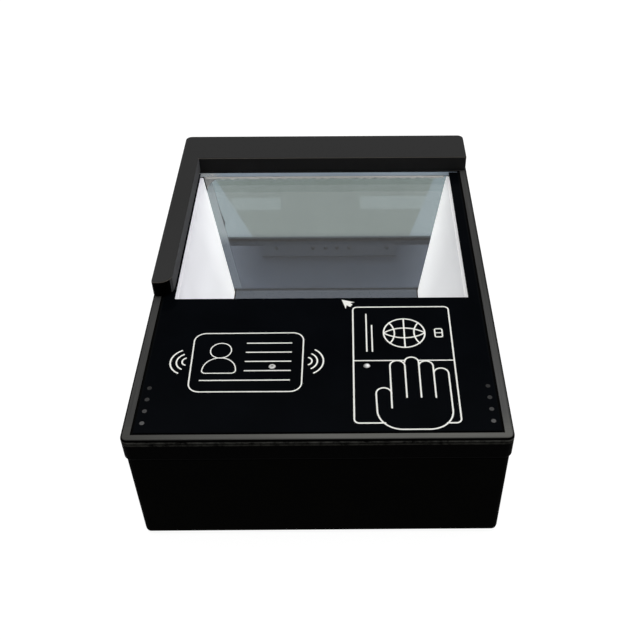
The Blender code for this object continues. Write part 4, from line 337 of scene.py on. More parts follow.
# Camera: a lens in its holder on a small board, which two brass screws fix to a bent bracket of
# galvanised sheet. The lens is ground glass with a bloomed coating that reflects violet.
brass, tree, place = new_material("machined_brass")
cuts = add_node(tree, "TexNoise", {"Scale": 1 / (0.3 * MM), "Detail": 2.0}, {"Vector": (place, "Object")})
tone = add_node(tree, "MixRGB", {"Color1": linear("b48d42"), "Color2": linear("cfa75a")}, {"Fac": cuts})
gloss = add_node(tree, "MapRange", {"To Min": 0.18, "To Max": 0.32}, {"Value": cuts})
shader = add_node(tree, "BsdfPrincipled", {"Metallic": 1.0}, {"Base Color": tone, "Roughness": gloss})
add_node(tree, "OutputMaterial", {}, {"Surface": shader})
dress(brass, "camera_screw_left", "camera_screw_right")

coated_lens, tree, place = new_material("coated_lens_glass")
facing = add_node(tree, "LayerWeight", {"Blend": 0.35})
bloom = add_node(tree, "MixRGB", {"Color1": linear("2b1f4a"), "Color2": linear("1d4a3f")},
                 {"Fac": (facing, "Facing")})
shader = add_node(tree, "BsdfPrincipled", {"IOR": 1.6, "Roughness": 0.03, "Coat Weight": 0.6,
                                           "Coat Roughness": 0.02}, {"Base Color": bloom})
add_node(tree, "OutputMaterial", {}, {"Surface": shader})
dress(coated_lens, "lens_glass")

# Sheet brackets behind the camera and the mirror: hot-dip galvanised steel. Zinc crystals of a
# few millimetres give it a mottled, whitish grey spangle.
SPANGLE = 2.2 * MM

zinc, tree, place = new_material("galvanised_sheet_spangle")
crystals = add_node(tree, "TexVoronoi", {"Scale": 1 / SPANGLE, "Randomness": 1.0},
                    {"Vector": (place, "Object")})
cloud = add_node(tree, "TexNoise", {"Scale": 1 / (0.7 * MM), "Detail": 4.0}, {"Vector": (place, "Object")})
shade = add_node(tree, "MixRGB", {"Fac": 0.5}, {"Color1": (crystals, "Color"), "Color2": cloud})
level = add_node(tree, "RGBToBW", {}, {0: shade})
tone = add_node(tree, "MixRGB", {"Color1": linear("c4c4c1"), "Color2": linear("ffffff")}, {"Fac": level})
gloss = add_node(tree, "MapRange", {"To Min": 0.35, "To Max": 0.6}, {"Value": level})
shader = add_node(tree, "BsdfPrincipled", {"Metallic": 0.1, "Specular IOR Level": 0.5},
                  {"Base Color": tone, "Roughness": gloss})
add_node(tree, "OutputMaterial", {}, {"Surface": shader})
dress(zinc, "camera_bracket", "mirror_bracket")

# Chamber walls: two sheets of opal acrylic that lean outwards, lit from behind by the side
# strips. Their glow stands in for that light, painted brighter towards the mirror and the back.
# each side has its own painted glow tint and level
WALL_GLOWS = {"left": ("eeecfa", 0.26, 0.54), "right": ("f4f4f6", 0.20, 0.57)}
TOP_EDGE_PAINTED_HIGHLIGHT = 1.3
WALL_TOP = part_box("diffuser_wall_left")[1].z
MIRROR_EDGE_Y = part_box("cover_glass")[1].y - 0.3 * MM
MIRROR_SLOPE = math.tan(math.radians(61.5))

for side, (edge_colour, low_glow, high_glow) in WALL_GLOWS.items():
    opal, tree, place = new_material("opal_acrylic_sheet_lit_" + side)
    haze = add_node(tree, "TexNoise", {"Scale": 1 / (14 * MM), "Detail": 3.0}, {"Vector": (place, "Object")})
    fine = add_node(tree, "TexNoise", {"Scale": 1 / (1.2 * MM), "Detail": 2.0}, {"Vector": (place, "Object")})
    mottle = add_node(tree, "MixRGB", {"Fac": 0.3}, {"Color1": haze, "Color2": fine})
    tone = add_node(tree, "MixRGB", {"Color1": linear("dadadb"), "Color2": linear("f0f0f0")}, {"Fac": mottle})
    axes = add_node(tree, "SeparateXYZ", {}, {0: (place, "Object")})
    # painted light: the glow rises with depth towards the mirror's seam and towards the back
    depth = add_node(tree, "Math", {"operation": "SUBTRACT", 0: WALL_TOP}, {1: (axes, "Z")})
    run = add_node(tree, "MapRange", {"From Min": MIRROR_EDGE_Y - 100 * MM, "From Max": MIRROR_EDGE_Y,
                                      "To Min": 100 * MM * MIRROR_SLOPE, "To Max": 1 * MM}, {"Value": (axes, "Y")})
    share = add_node(tree, "Math", {"operation": "DIVIDE", "use_clamp": True}, {0: depth, 1: run})
    share = add_node(tree, "Math", {"operation": "SQRT"}, {0: share})
    glow = add_node(tree, "MapRange", {"To Min": low_glow, "To Max": high_glow}, {"Value": share})
    rearward_painted_light = add_node(tree, "MapRange", {"From Min": 25 * MM, "From Max": MIRROR_EDGE_Y, "To Min": 1.0,
                                           "To Max": 1.25}, {"Value": (axes, "Y")})
    glow = add_node(tree, "Math", {"operation": "MULTIPLY"}, {0: glow, 1: rearward_painted_light})
    uneven = add_node(tree, "MapRange", {"To Min": 0.85, "To Max": 1.15}, {"Value": haze})
    # painted highlight: a brighter line along the top edge
    edge = add_node(tree, "MapRange", {"From Min": WALL_TOP - 0.35 * MM, "From Max": WALL_TOP - 0.15 * MM,
                                       "To Min": 1.0, "To Max": TOP_EDGE_PAINTED_HIGHLIGHT}, {"Value": (axes, "Z")})
    glow = add_node(tree, "Math", {"operation": "MULTIPLY"}, {0: glow, 1: uneven})
    glow = add_node(tree, "Math", {"operation": "MULTIPLY"}, {0: glow, 1: edge})
    light = add_node(tree, "MixRGB", {"Color1": linear(edge_colour), "Color2": linear("f7f8f6")}, {"Fac": share})
    shader = add_node(tree, "BsdfPrincipled", {"IOR": 1.49, "Roughness": 0.45, "Specular IOR Level": 0.15},
                      {"Base Color": tone, "Emission Color": light, "Emission Strength": glow})
    add_node(tree, "OutputMaterial", {}, {"Surface": shader})
    dress(opal, "diffuser_wall_" + side)

# Mirror: 3 mm float glass with a dark coating on its face, so that it reflects about a quarter
# of the light in a greenish grey. It leans back on the bracket and its corner is ground round.
# painted shade: the mirror reflects less below 25 mm than above 31 mm, darkening the lower part of what it shows
REFLECTS_LESS_BELOW = 25 * MM
REFLECTS_MORE_ABOVE = 31 * MM
PAINTED_STRIP_WIDTH = 3.5 * MM

dark_mirror, tree, place = new_material("dark_front_coated_mirror")
wipe = add_node(tree, "Mapping", {"Scale": (1 / (9 * MM), 1 / (40 * MM), 1 / (40 * MM))},
                {"Vector": (place, "Object")})
smear = add_node(tree, "TexNoise", {"Scale": 1.0, "Detail": 4.0}, {"Vector": wipe})
upper_reflectance = add_node(tree, "MixRGB", {"Color1": linear("9da9ab"), "Color2": linear("a5b1b3")}, {"Fac": smear})
lower_shaded_reflectance = add_node(tree, "MixRGB", {"Color1": linear("737c88"), "Color2": linear("7b8490")}, {"Fac": smear})
axes = add_node(tree, "SeparateXYZ", {}, {0: (place, "Object")})
height = add_node(tree, "MapRange", {"From Min": REFLECTS_LESS_BELOW, "From Max": REFLECTS_MORE_ABOVE}, {"Value": (axes, "Z")})
tone = add_node(tree, "MixRGB", {}, {"Fac": height, "Color1": lower_shaded_reflectance, "Color2": upper_reflectance})
coated = add_node(tree, "BsdfPrincipled", {"Metallic": 1.0, "Roughness": 0.0}, {"Base Color": tone})
# a matt strip along the left edge, painted with the tones of a reflection in place of the mirror there
seam_x = add_node(tree, "MapRange", {"clamp": False, "From Min": 2.8 * MM, "From Max": 56.6 * MM,
                                     "To Min": -49.0 * MM, "To Max": -64.1 * MM}, {"Value": (axes, "Z")})
inward = add_node(tree, "Math", {"operation": "SUBTRACT"}, {0: (axes, "X"), 1: seam_x})
painted_strip_mask = add_node(tree, "MapRange", {"From Min": PAINTED_STRIP_WIDTH, "From Max": PAINTED_STRIP_WIDTH + 0.8 * MM,
                                     "To Min": 1.0, "To Max": 0.0}, {"Value": inward})
painted_reflection_tone = add_node(tree, "MixRGB", {"Color1": linear("66707b"), "Color2": linear("a2adb0")},
                     {"Fac": height})
painted_reflection_strip = add_node(tree, "BsdfPrincipled", {"Roughness": 0.6, "Specular IOR Level": 0.1},
                {"Base Color": painted_reflection_tone})
shader = add_node(tree, "MixShader", {}, {0: painted_strip_mask, 1: coated, 2: painted_reflection_strip})
add_node(tree, "OutputMaterial", {}, {"Surface": shader})
dress(dark_mirror, "mirror")

# Sealant bead: cream sealant, laid by hand in the corner between the mirror's top edge and the
# glass, to keep dust out. It is slightly lumpy along its length.
BEAD_HALF_LENGTH = 62.6 * MM
BEAD_TURNS = (0.83, 2.17, 5.3)
BEAD_LUMP = 0.06 * MM
BEAD_STATIONS = 90

sealant, tree, place = new_material("cream_silicone_sealant")
lumps = add_node(tree, "TexNoise", {"Scale": 1 / (1.3 * MM), "Detail": 3.0}, {"Vector": (place, "Object")})
tone = add_node(tree, "MixRGB", {"Color1": linear("dcd9d2"), "Color2": linear("f2f0ec")}, {"Fac": lumps})
relief = add_node(tree, "Bump", {"Strength": 0.4, "Distance": 0.08 * MM}, {"Height": lumps})
shader = add_node(tree, "BsdfPrincipled", {"IOR": 1.41, "Roughness": 0.5, "Specular IOR Level": 0.3},
                  {"Base Color": tone, "Normal": relief})
add_node(tree, "OutputMaterial", {}, {"Surface": shader})

glass_low, glass_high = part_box("cover_glass")
mirror_low, mirror_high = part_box("mirror")
shape = bmesh.new()
rows = []
for station in range(BEAD_STATIONS + 1):
    share = 2 * station / BEAD_STATIONS - 1
    lump = BEAD_LUMP * sum(math.sin(share * 40 * turn + 3 * turn) for turn in BEAD_TURNS)
    top = glass_low.z - 0.01 * MM
    drop = 0.5 * MM + lump
    face = MIRROR_EDGE_Y - 0.01 * MM
    section = [(face - 0.75 * MM - lump / 2, top), (face, top), (face, mirror_high.z - 0.02 * MM),
               (face - drop * 0.8, mirror_high.z - drop * 0.8 * MIRROR_SLOPE),
               (face - 0.62 * MM - lump / 2, mirror_high.z - drop * 0.75)]
    rows.append([shape.verts.new((share * BEAD_HALF_LENGTH, y, z)) for y, z in section])
for one, two in zip(rows, rows[1:]):
    for k in range(len(one)):
        shape.faces.new((one[k - 1], one[k], two[k], two[k - 1]))
shape.faces.new(rows[0])
shape.faces.new(rows[-1])
finish_piece("sealant_bead", shape, sealant, "housing")

# Front bulkhead: a plate of grey moulded ABS that closes the chamber in front, with an opening
# for the lens. Its dull blue-grey face is what the mirror shows in its lower half.
bulkhead_abs, tree, place = new_material("grey_abs_moulded")
grain = add_node(tree, "TexNoise", {"Scale": 1 / GRAIN_SIZE, "Detail": 3.0}, {"Vector": (place, "Object")})
cloud = add_node(tree, "TexNoise", {"Scale": 1 / (20 * MM), "Detail": 4.0}, {"Vector": (place, "Object")})
axes = add_node(tree, "SeparateXYZ", {}, {0: (place, "Object")})
# painted shade: the face darkens towards the top, under the deck
height = add_node(tree, "MapRange", {"From Min": 20 * MM, "From Max": 54 * MM}, {"Value": (axes, "Z")})
tone = add_node(tree, "MixRGB", {"Color1": linear("c2c8d1"), "Color2": linear("757c88")}, {"Fac": height})
across = add_node(tree, "Math", {"operation": "ABSOLUTE"}, {0: (axes, "X")})
# painted light: the face pales towards the corners beside the lit walls
at_corner = add_node(tree, "MapRange", {"From Min": 42 * MM, "From Max": 62 * MM}, {"Value": across})
tone = add_node(tree, "MixRGB", {"Color2": linear("e0e2e6")}, {"Fac": at_corner, "Color1": tone})
cloudy = add_node(tree, "MapRange", {"To Min": 0.9, "To Max": 1.1}, {"Value": cloud})
tone = add_node(tree, "VectorMath", {"operation": "MULTIPLY"}, {0: tone, 1: cloudy})
relief = add_node(tree, "Bump", {"Strength": 0.3, "Distance": 0.04 * MM}, {"Height": grain})
shader = add_node(tree, "BsdfPrincipled", {"IOR": 1.53, "Roughness": 0.6, "Specular IOR Level": 0.2},
                  {"Base Color": tone, "Normal": relief})
add_node(tree, "OutputMaterial", {}, {"Surface": shader})
dress(bulkhead_abs, "front_bulkhead")

# Light strips: narrow boards under grey-white mask, each with a row of lamps in clear domes or
# yellow phosphor squares. One is glued to the bulkhead, two to the side walls of the tub.
light_board = board_material("grey_mask_light_board", "818890", "899099", {
    # painted shade: the front strip's face is dark grey, going on from the bulkhead's painted shade under the deck
    "505257": [((-45, -19.32, 45), (45, -18, 54))],
    "d9c86a": [((-69.0, -30, 15), (-67.6, 60, 30)), ((67.6, -30, 15), (69.0, 60, 30))],
})
dress(light_board, "led_bar_front", "led_bar_left", "led_bar_right", "indicator_board_left",
      "indicator_board_right")

# Lid: rim, skirt and deck in one black ABS moulding. The skirt has the tub's matt grain. The flat
# top of the rim is a painted sheen in grey, streaked along each side, with painted light and shade.
RIM_TOP = cad_box[1].z - 8.5 * MM
RIM_FRONT_LINE = -98.5 * MM
STREAK_WIDTH = 0.35 * MM
# painted light: the deck opening's inner faces are pale grey with a faint glow, lit from the chamber; its front
# inner face is blue-grey painted shade
DECK_EDGES_PAINTED_LIGHT = {
    "c8cacc": ((-66.7, -21.1, 53.95), (66.7, 84.3, 56.65)),
    "505c6a": ((-66.5, -21.35, 53.95), (66.5, -21.15, 56.65)),
}
DECK_EDGE_PAINTED_GLOW = 0.4
# painted sheen: lighter broken lines along the rounded edge below the rim's top
SIDE_PAINTED_SHEEN_LINES = (("1b1b19", 2.1 * MM, 1.2 * MM), ("3e3e3b", 1.3 * MM, 0.4 * MM), ("2b2b28", 2.8 * MM, 0.35 * MM))

lid_abs, tree, place = new_material("black_abs_rim_painted_sheen")
axes = add_node(tree, "SeparateXYZ", {}, {0: (place, "Object")})
# painted sheen on the flat top: lighter at the front and towards the front on the right, darker to the left
on_top = add_node(tree, "MapRange", {"From Min": RIM_TOP - 0.16 * MM, "From Max": RIM_TOP - 0.04 * MM},
                  {"Value": (axes, "Z")})
front_streaks = add_node(tree, "Mapping", {"Scale": (1 / (30 * MM), 1 / STREAK_WIDTH, 1.0)},
                         {"Vector": (place, "Object")})
side_streaks = add_node(tree, "Mapping", {"Scale": (1 / STREAK_WIDTH, 1 / (30 * MM), 1.0)},
                        {"Vector": (place, "Object")})
front_noise = add_node(tree, "TexNoise", {"Scale": 1.0, "Detail": 3.0}, {"Vector": front_streaks})
side_noise = add_node(tree, "TexNoise", {"Scale": 1.0, "Detail": 3.0}, {"Vector": side_streaks})
front_sheen = add_node(tree, "MixRGB", {"Color1": linear("52524f"), "Color2": linear("6a6a67")},
                      {"Fac": front_noise})
rim_side = cad_box[1].x
leftward_shade = add_node(tree, "MapRange", {"From Min": 0.0, "From Max": -rim_side, "To Min": 1.0, "To Max": 0.5},
                    {"Value": (axes, "X")})
front_sheen = add_node(tree, "VectorMath", {"operation": "MULTIPLY"}, {0: front_sheen, 1: leftward_shade})
side_sheen = add_node(tree, "MixRGB", {"Color1": linear("2a2a2a"), "Color2": linear("4e4e4d")},
                     {"Fac": side_noise})
at_right = add_node(tree, "MapRange", {"From Min": 0.0, "From Max": rim_side}, {"Value": (axes, "X")})
forward = add_node(tree, "MapRange", {"From Min": -10 * MM, "From Max": -80 * MM, "To Max": 0.65},
                   {"Value": (axes, "Y")})
right_front_light = add_node(tree, "Math", {"operation": "MULTIPLY"}, {0: at_right, 1: forward})
right_front_light = add_node(tree, "Math", {"operation": "ADD", 1: 1.0}, {0: right_front_light})
side_sheen = add_node(tree, "VectorMath", {"operation": "MULTIPLY"}, {0: side_sheen, 1: right_front_light})
at_front = add_node(tree, "MapRange", {"From Min": RIM_FRONT_LINE + 10 * MM, "From Max": RIM_FRONT_LINE},
                    {"Value": (axes, "Y")})
grey = add_node(tree, "MixRGB", {}, {"Fac": at_front, "Color1": side_sheen, "Color2": front_sheen})
# painted shade along the rim's outer edges
for axis, start, end, share in (("Y", RIM_FRONT_LINE - 2.0 * MM, cad_box[0].y, 0.4),
                                ("X", -rim_side + 0.9 * MM, -rim_side + 0.6 * MM, 0.15),
                                ("X", rim_side - 1.3 * MM, rim_side - 1.0 * MM, 0.7)):
    outer_edge_shade = add_node(tree, "MapRange", {"From Min": start, "From Max": end, "To Min": 1.0, "To Max": share},
                      {"Value": (axes, axis)})
    grey = add_node(tree, "VectorMath", {"operation": "MULTIPLY"}, {0: grey, 1: outer_edge_shade})
grain = add_node(tree, "TexNoise", {"Scale": 1 / GRAIN_SIZE, "Detail": 3.0, "Roughness": 0.6},
                 {"Vector": (place, "Object")})
sheen_breakup = add_node(tree, "TexNoise", {"Scale": 1 / (2.5 * MM), "Detail": 4.0, "Roughness": 0.7},
                  {"Vector": (place, "Object")})
sheen_breaks = add_node(tree, "MapRange", {"From Min": 0.35, "From Max": 0.62}, {"Value": sheen_breakup})
side = add_node(tree, "MixRGB", {"Color1": linear("010101"), "Color2": linear("020202")}, {"Fac": grain})
# painted sheen lines on the lid's side
for colour, drop, reach in SIDE_PAINTED_SHEEN_LINES:
    near = add_node(tree, "Math", {"operation": "COMPARE", 1: RIM_TOP - drop, 2: reach}, {0: (axes, "Z")})
    sheen_line = add_node(tree, "Math", {"operation": "MULTIPLY"}, {0: near, 1: sheen_breaks})
    side = add_node(tree, "MixRGB", {"Color2": linear(colour)}, {"Fac": sheen_line, "Color1": side})
dusty = dust_on(tree, place, side, "353533")
skin = add_node(tree, "MixRGB", {}, {"Fac": on_top, "Color1": dusty, "Color2": grey})
for colour, edge_box in DECK_EDGES_PAINTED_LIGHT.items():
    painted_edge_mask = inside_box(tree, place, *edge_box)
    skin = add_node(tree, "MixRGB", {"Color2": linear(colour)}, {"Fac": painted_edge_mask, "Color1": skin})
    # painted glow on the pale deck edges
    if colour == "c8cacc":
        lit = add_node(tree, "Math", {"operation": "MULTIPLY", 1: DECK_EDGE_PAINTED_GLOW}, {0: painted_edge_mask})
relief = add_node(tree, "Bump", {"Strength": 0.4, "Distance": 0.04 * MM}, {"Height": grain})
shader = add_node(tree, "BsdfPrincipled", {"IOR": 1.53, "Roughness": 0.5, "Specular IOR Level": 0.004,
                                           "Emission Color": linear("f0f0ee")},
                  {"Base Color": skin, "Normal": relief, "Emission Strength": lit})
add_node(tree, "OutputMaterial", {}, {"Surface": shader})
dress(lid_abs, "top_bezel")

# Adhesive film: a black sheet with matt paper-like faces that bonds the glass to the deck.
film, tree, place = new_material("black_bonding_film")
weave = add_node(tree, "TexNoise", {"Scale": 1 / (0.6 * MM), "Detail": 2.0}, {"Vector": (place, "Object")})
tone = add_node(tree, "MixRGB", {"Color1": linear("070708"), "Color2": linear("0f0f10")}, {"Fac": weave})
# the deck edges' painted light and shade again
for colour, edge_box in DECK_EDGES_PAINTED_LIGHT.items():
    painted_edge_mask = inside_box(tree, place, *edge_box)
    tone = add_node(tree, "MixRGB", {"Color2": linear(colour)}, {"Fac": painted_edge_mask, "Color1": tone})
    # painted glow on the pale deck edges
    if colour == "c8cacc":
        lit = add_node(tree, "Math", {"operation": "MULTIPLY", 1: DECK_EDGE_PAINTED_GLOW}, {0: painted_edge_mask})
shader = add_node(tree, "BsdfPrincipled", {"IOR": 1.47, "Roughness": 0.85, "Specular IOR Level": 0.1,
                                           "Emission Color": linear("f0f0ee")},
                  {"Base Color": tone, "Emission Strength": lit})
add_node(tree, "OutputMaterial", {}, {"Surface": shader})
dress(film, "bonding_film")

# Light pipes and sensor lenses: clear acrylic, moulded and polished. The lenses stand in holes in
# the glass, and each domed top has a painted reflection, a bright part and a darker part.
acrylic, tree, place = new_material("clear_moulded_acrylic")
swirl = add_node(tree, "TexNoise", {"Scale": 1 / (1.5 * MM), "Detail": 2.0}, {"Vector": (place, "Object")})
tone = add_node(tree, "MixRGB", {"Color1": linear("c2c6c6"), "Color2": linear("d8dbdb")}, {"Fac": swirl})
shader = add_node(tree, "BsdfPrincipled", {"IOR": 1.49, "Roughness": 0.12, "Transmission Weight": 0.6},
                  {"Base Color": tone})
add_node(tree, "OutputMaterial", {}, {"Surface": shader})
dress(acrylic, "light_pipe_left", "light_pipe_right")


def lens_material(name, spot, inner_colour, outer_colour, reach):
    """A dome with a painted reflection, whose tone goes from one colour at a spot to another at a distance from it.
    """
    material, tree, place = new_material(name)
    offset = add_node(tree, "VectorMath", {"operation": "DISTANCE", 1: spot}, {0: (place, "Object")})
    swirl = add_node(tree, "TexNoise", {"Scale": 1 / (0.5 * MM), "Detail": 2.0},
                     {"Vector": (place, "Object")})
    blur = add_node(tree, "Math", {"operation": "MULTIPLY_ADD", 1: 0.5 * MM}, {0: swirl, 2: (offset, "Value")})
    fade = add_node(tree, "MapRange", {"From Min": 0.45 * MM, "From Max": reach}, {"Value": blur})
    tone = add_node(tree, "MixRGB", {"Color1": linear(inner_colour), "Color2": linear(outer_colour)},
                    {"Fac": fade})
    shader = add_node(tree, "BsdfPrincipled", {"IOR": 1.49, "Roughness": 0.15, "Coat Weight": 0.3,
                                               "Coat Roughness": 0.05}, {"Base Color": tone})
    add_node(tree, "OutputMaterial", {}, {"Surface": shader})
    return material


left_low, left_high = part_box("sensor_emitter")
right_low, right_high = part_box("sensor_receiver")
left_spot = (left_low + left_high) / 2
right_spot = (right_low + right_high) / 2
# left lens: a darker painted centre; right lens: a painted highlight set off to its right
dress(lens_material("acrylic_lens_painted_reflection", (left_spot.x, left_spot.y, left_high.z),
                    "6a6a68", "cfcfcc", 1.3 * MM), "sensor_emitter")
dress(lens_material("acrylic_lens_painted_highlight", (right_spot.x + 0.5 * MM, right_spot.y, right_high.z),
                    "ffffff", "7d7d7c", 1.6 * MM), "sensor_receiver")

# Cover glass: 5 mm toughened float glass with a non-reflecting coating, flush in the rim. The
# ground edge is matt and faintly grey. Lamps reach what lies below it, as through real glass.
GLASS_ARRIS = 0.46 * MM
GROUND_DEPTH = 0.03 * MM
COATED_REFLECTION = 0.03

float_glass, tree, place = new_material("tempered_float_glass_coated")
axes = add_node(tree, "SeparateXYZ", {}, {0: (place, "Object")})
across = add_node(tree, "Math", {"operation": "ABSOLUTE"}, {0: (axes, "X")})
at_side = add_node(tree, "Math", {"operation": "GREATER_THAN", 1: glass_high.x - GLASS_ARRIS}, {0: across})
at_front = add_node(tree, "Math", {"operation": "LESS_THAN", 1: glass_low.y + GLASS_ARRIS},
                    {0: (axes, "Y")})
ground = add_node(tree, "Math", {"operation": "MAXIMUM"}, {0: at_side, 1: at_front})
refracted = add_node(tree, "BsdfRefraction", {"Color": linear("ffffff"), "IOR": 1.52, "Roughness": 0.0})
mirrored = add_node(tree, "BsdfAnisotropic", {"Color": linear("ffffff"), "Roughness": 0.02})
clear = add_node(tree, "MixShader", {0: COATED_REFLECTION}, {1: refracted, 2: mirrored})
grit = add_node(tree, "TexNoise", {"Scale": 1 / (0.3 * MM), "Detail": 2.0}, {"Vector": (place, "Object")})
edge_tone = add_node(tree, "MixRGB", {"Color1": linear("010203"), "Color2": linear("07090c")}, {"Fac": grit})
at_back = add_node(tree, "Math", {"operation": "GREATER_THAN", 1: glass_high.y - GROUND_DEPTH},
                   {0: (axes, "Y")})
streaky = add_node(tree, "Mapping", {"Scale": (1 / (25 * MM), 1.0, 1 / (0.8 * MM))},
                   {"Vector": (place, "Object")})
wheel = add_node(tree, "TexNoise", {"Scale": 1.0, "Detail": 2.0}, {"Vector": streaky})
back_tone = add_node(tree, "MixRGB", {"Color1": linear("b4c3d2"), "Color2": linear("cfdeeb")}, {"Fac": wheel})
smears = add_node(tree, "TexNoise", {"Scale": 1 / (0.9 * MM), "Detail": 3.0}, {"Vector": (place, "Object")})
smears = add_node(tree, "MapRange", {"From Min": 0.38, "From Max": 0.56}, {"Value": smears})
at_corner = add_node(tree, "MapRange", {"From Min": -54 * MM, "From Max": -59 * MM}, {"Value": (axes, "X")})
smeared = add_node(tree, "Math", {"operation": "MULTIPLY"}, {0: at_corner, 1: smears})
back_tone = add_node(tree, "MixRGB", {"Color2": linear("f4f4f0")}, {"Fac": smeared, "Color1": back_tone})
ground_tone = add_node(tree, "MixRGB", {}, {"Fac": at_back, "Color1": edge_tone, "Color2": back_tone})
ground = add_node(tree, "Math", {"operation": "MAXIMUM"}, {0: ground, 1: at_back})
matt_edge = add_node(tree, "BsdfPrincipled", {"IOR": 1.52, "Roughness": 0.6, "Specular IOR Level": 0.01},
                     {"Base Color": ground_tone})
body = add_node(tree, "MixShader", {}, {0: ground, 1: clear, 2: matt_edge})
passing = add_node(tree, "BsdfTransparent", {"Color": linear("ffffff")})
path = add_node(tree, "LightPath")
lamp_or_bounce = add_node(tree, "Math", {"operation": "MAXIMUM"},
                          {0: (path, "Is Shadow Ray"), 1: (path, "Is Diffuse Ray")})
both = add_node(tree, "MixShader", {}, {0: lamp_or_bounce, 1: body, 2: passing})
add_node(tree, "OutputMaterial", {}, {"Surface": both})
dress(float_glass, "cover_glass")

# Black print: ceramic ink, screen printed on the glass and baked, over the front panel and the
# strips beside the window. It leaves the window, the two lenses and eight lamp spots clear.
PRINT_MARGIN = 0.45 * MM
PRINT_THICKNESS = 0.05 * MM
WINDOW_HALF_WIDTH = 65.0 * MM
WINDOW_FRONT = -20.95 * MM
LENS_HOLE = 1.65 * MM
LAMP_SPOT = 1.0 * MM
LAMP_X = 67.3 * MM
LAMP_ROWS = (-92.85 * MM, -86.75 * MM, -80.65 * MM, -74.55 * MM)
HOLE_STEPS = 28

ceramic_ink, tree, place = new_material("black_ceramic_screen_ink")
cloud = add_node(tree, "TexNoise", {"Scale": 1 / (30 * MM), "Detail": 5.0, "Roughness": 0.65},
                 {"Vector": (place, "Object")})
tone = add_node(tree, "MixRGB", {"Color1": linear("010203"), "Color2": linear("07090d")}, {"Fac": cloud})
dusty = dust_on(tree, place, tone, "20242b")
gloss = add_node(tree, "MapRange", {"To Min": 0.08, "To Max": 0.2}, {"Value": cloud})
shader = add_node(tree, "BsdfPrincipled", {"IOR": 1.52, "Specular IOR Level": 0.004},
                  {"Base Color": dusty, "Roughness": gloss})
add_node(tree, "OutputMaterial", {}, {"Surface": shader})


def ring_points(x, y, radius, steps):
    """Points round a circle."""
    turns = [math.tau * k / steps for k in range(steps)]
    return [(x + radius * math.cos(turn), y + radius * math.sin(turn)) for turn in turns]


side, front, back = glass_high.x - PRINT_MARGIN, glass_low.y + PRINT_MARGIN, glass_high.y - PRINT_MARGIN
outline = [(-side, front), (side, front), (side, back), (WINDOW_HALF_WIDTH, back),
           (WINDOW_HALF_WIDTH, WINDOW_FRONT), (-WINDOW_HALF_WIDTH, WINDOW_FRONT),
           (-WINDOW_HALF_WIDTH, back), (-side, back)]
lamp_places = [(sign * LAMP_X, y) for sign in (-1, 1) for y in LAMP_ROWS]
loops = [outline] + [ring_points(spot.x, spot.y, LENS_HOLE, HOLE_STEPS) for spot in (left_spot, right_spot)]
loops += [ring_points(x, y, LAMP_SPOT, HOLE_STEPS) for x, y in lamp_places]
shape = bmesh.new()
print_top = glass_high.z + PRINT_THICKNESS
for loop in loops:
    verts = [shape.verts.new((x, y, print_top)) for x, y in loop]
    for k in range(len(verts)):
        shape.edges.new((verts[k - 1], verts[k]))
bmesh.ops.triangle_fill(shape, use_beauty=True, edges=shape.edges)
thicken(shape, shape.faces[:], Vector((0, 0, -PRINT_THICKNESS)))
finish_piece("panel_print", shape, ceramic_ink, "housing")

# Lamp spots: eight round windows of grey translucent ink over the status lamps. The lamps are
# off, so they show as dull grey dots, darker in the middle and dimmer towards the back.
SPOT_TONES = (0.085, 0.05, 0.032, 0.02)
SPOT_RINGS = ((0.0, 0.6), (0.3, 1.0), (0.75, 1.0), (0.98, 0.5))

smoked_ink, tree, place = new_material("grey_translucent_ink")
tones = add_node(tree, "VertexColor", {"layer_name": "spot_tone"})
mesh_marks = add_node(tree, "TexNoise", {"Scale": 1 / (0.4 * MM), "Detail": 2.0},
                      {"Vector": (place, "Object")})
patchy = add_node(tree, "MapRange", {"To Min": 0.8, "To Max": 1.2}, {"Value": mesh_marks})
tone = add_node(tree, "VectorMath", {"operation": "MULTIPLY"}, {0: tones, 1: patchy})
shader = add_node(tree, "BsdfPrincipled", {"IOR": 1.5, "Roughness": 0.4, "Specular IOR Level": 0.05},
                  {"Base Color": tone})
add_node(tree, "OutputMaterial", {}, {"Surface": shader})

shape = bmesh.new()
tone_layer = shape.verts.layers.float_color.new("spot_tone")
for x, y in lamp_places:
    strength = SPOT_TONES[LAMP_ROWS.index(y)]
    rings = []
    for share, part in SPOT_RINGS[1:]:
        ring = [shape.verts.new((*spot, print_top)) for spot in ring_points(x, y, share * LAMP_SPOT, HOLE_STEPS)]
        for vert in ring:
            vert[tone_layer] = (strength * part,) * 3 + (1.0,)
        rings.append(ring)
    centre = shape.verts.new((x, y, print_top))
    centre[tone_layer] = (strength * SPOT_RINGS[0][1],) * 3 + (1.0,)
    faces = [shape.faces.new((centre, rings[0][k - 1], rings[0][k])) for k in range(HOLE_STEPS)]
    for small, large in zip(rings, rings[1:]):
        faces += [shape.faces.new((small[k - 1], large[k - 1], large[k], small[k])) for k in range(HOLE_STEPS)]
    thicken(shape, faces, Vector((0, 0, -PRINT_THICKNESS)))
finish_piece("lamp_spots", shape, smoked_ink, "housing")

# Signs: white ink, screen printed over the black in lines 0.5 to 0.6 mm wide. On the left is a card
# with radio waves, on the right an open booklet held by a hand, and an arrow to the window.
SIGN_LINE = 0.64
FINE_LINE = 0.56
HEAD_LINE = 0.46
SIGN_ORIGIN = -98.8
SIGN_THICKNESS = 0.02 * MM
LAYER_STEP = 0.002 * MM
LAYERS = 8
CAP_STEPS = 6


def arc(x, y, radius, start, end, steps=14):
    """Points along an arc, with angles in degrees."""
    turns = [math.radians(start + (end - start) * k / steps) for k in range(steps + 1)]
    return [(x + radius * math.cos(turn), y + radius * math.sin(turn)) for turn in turns]


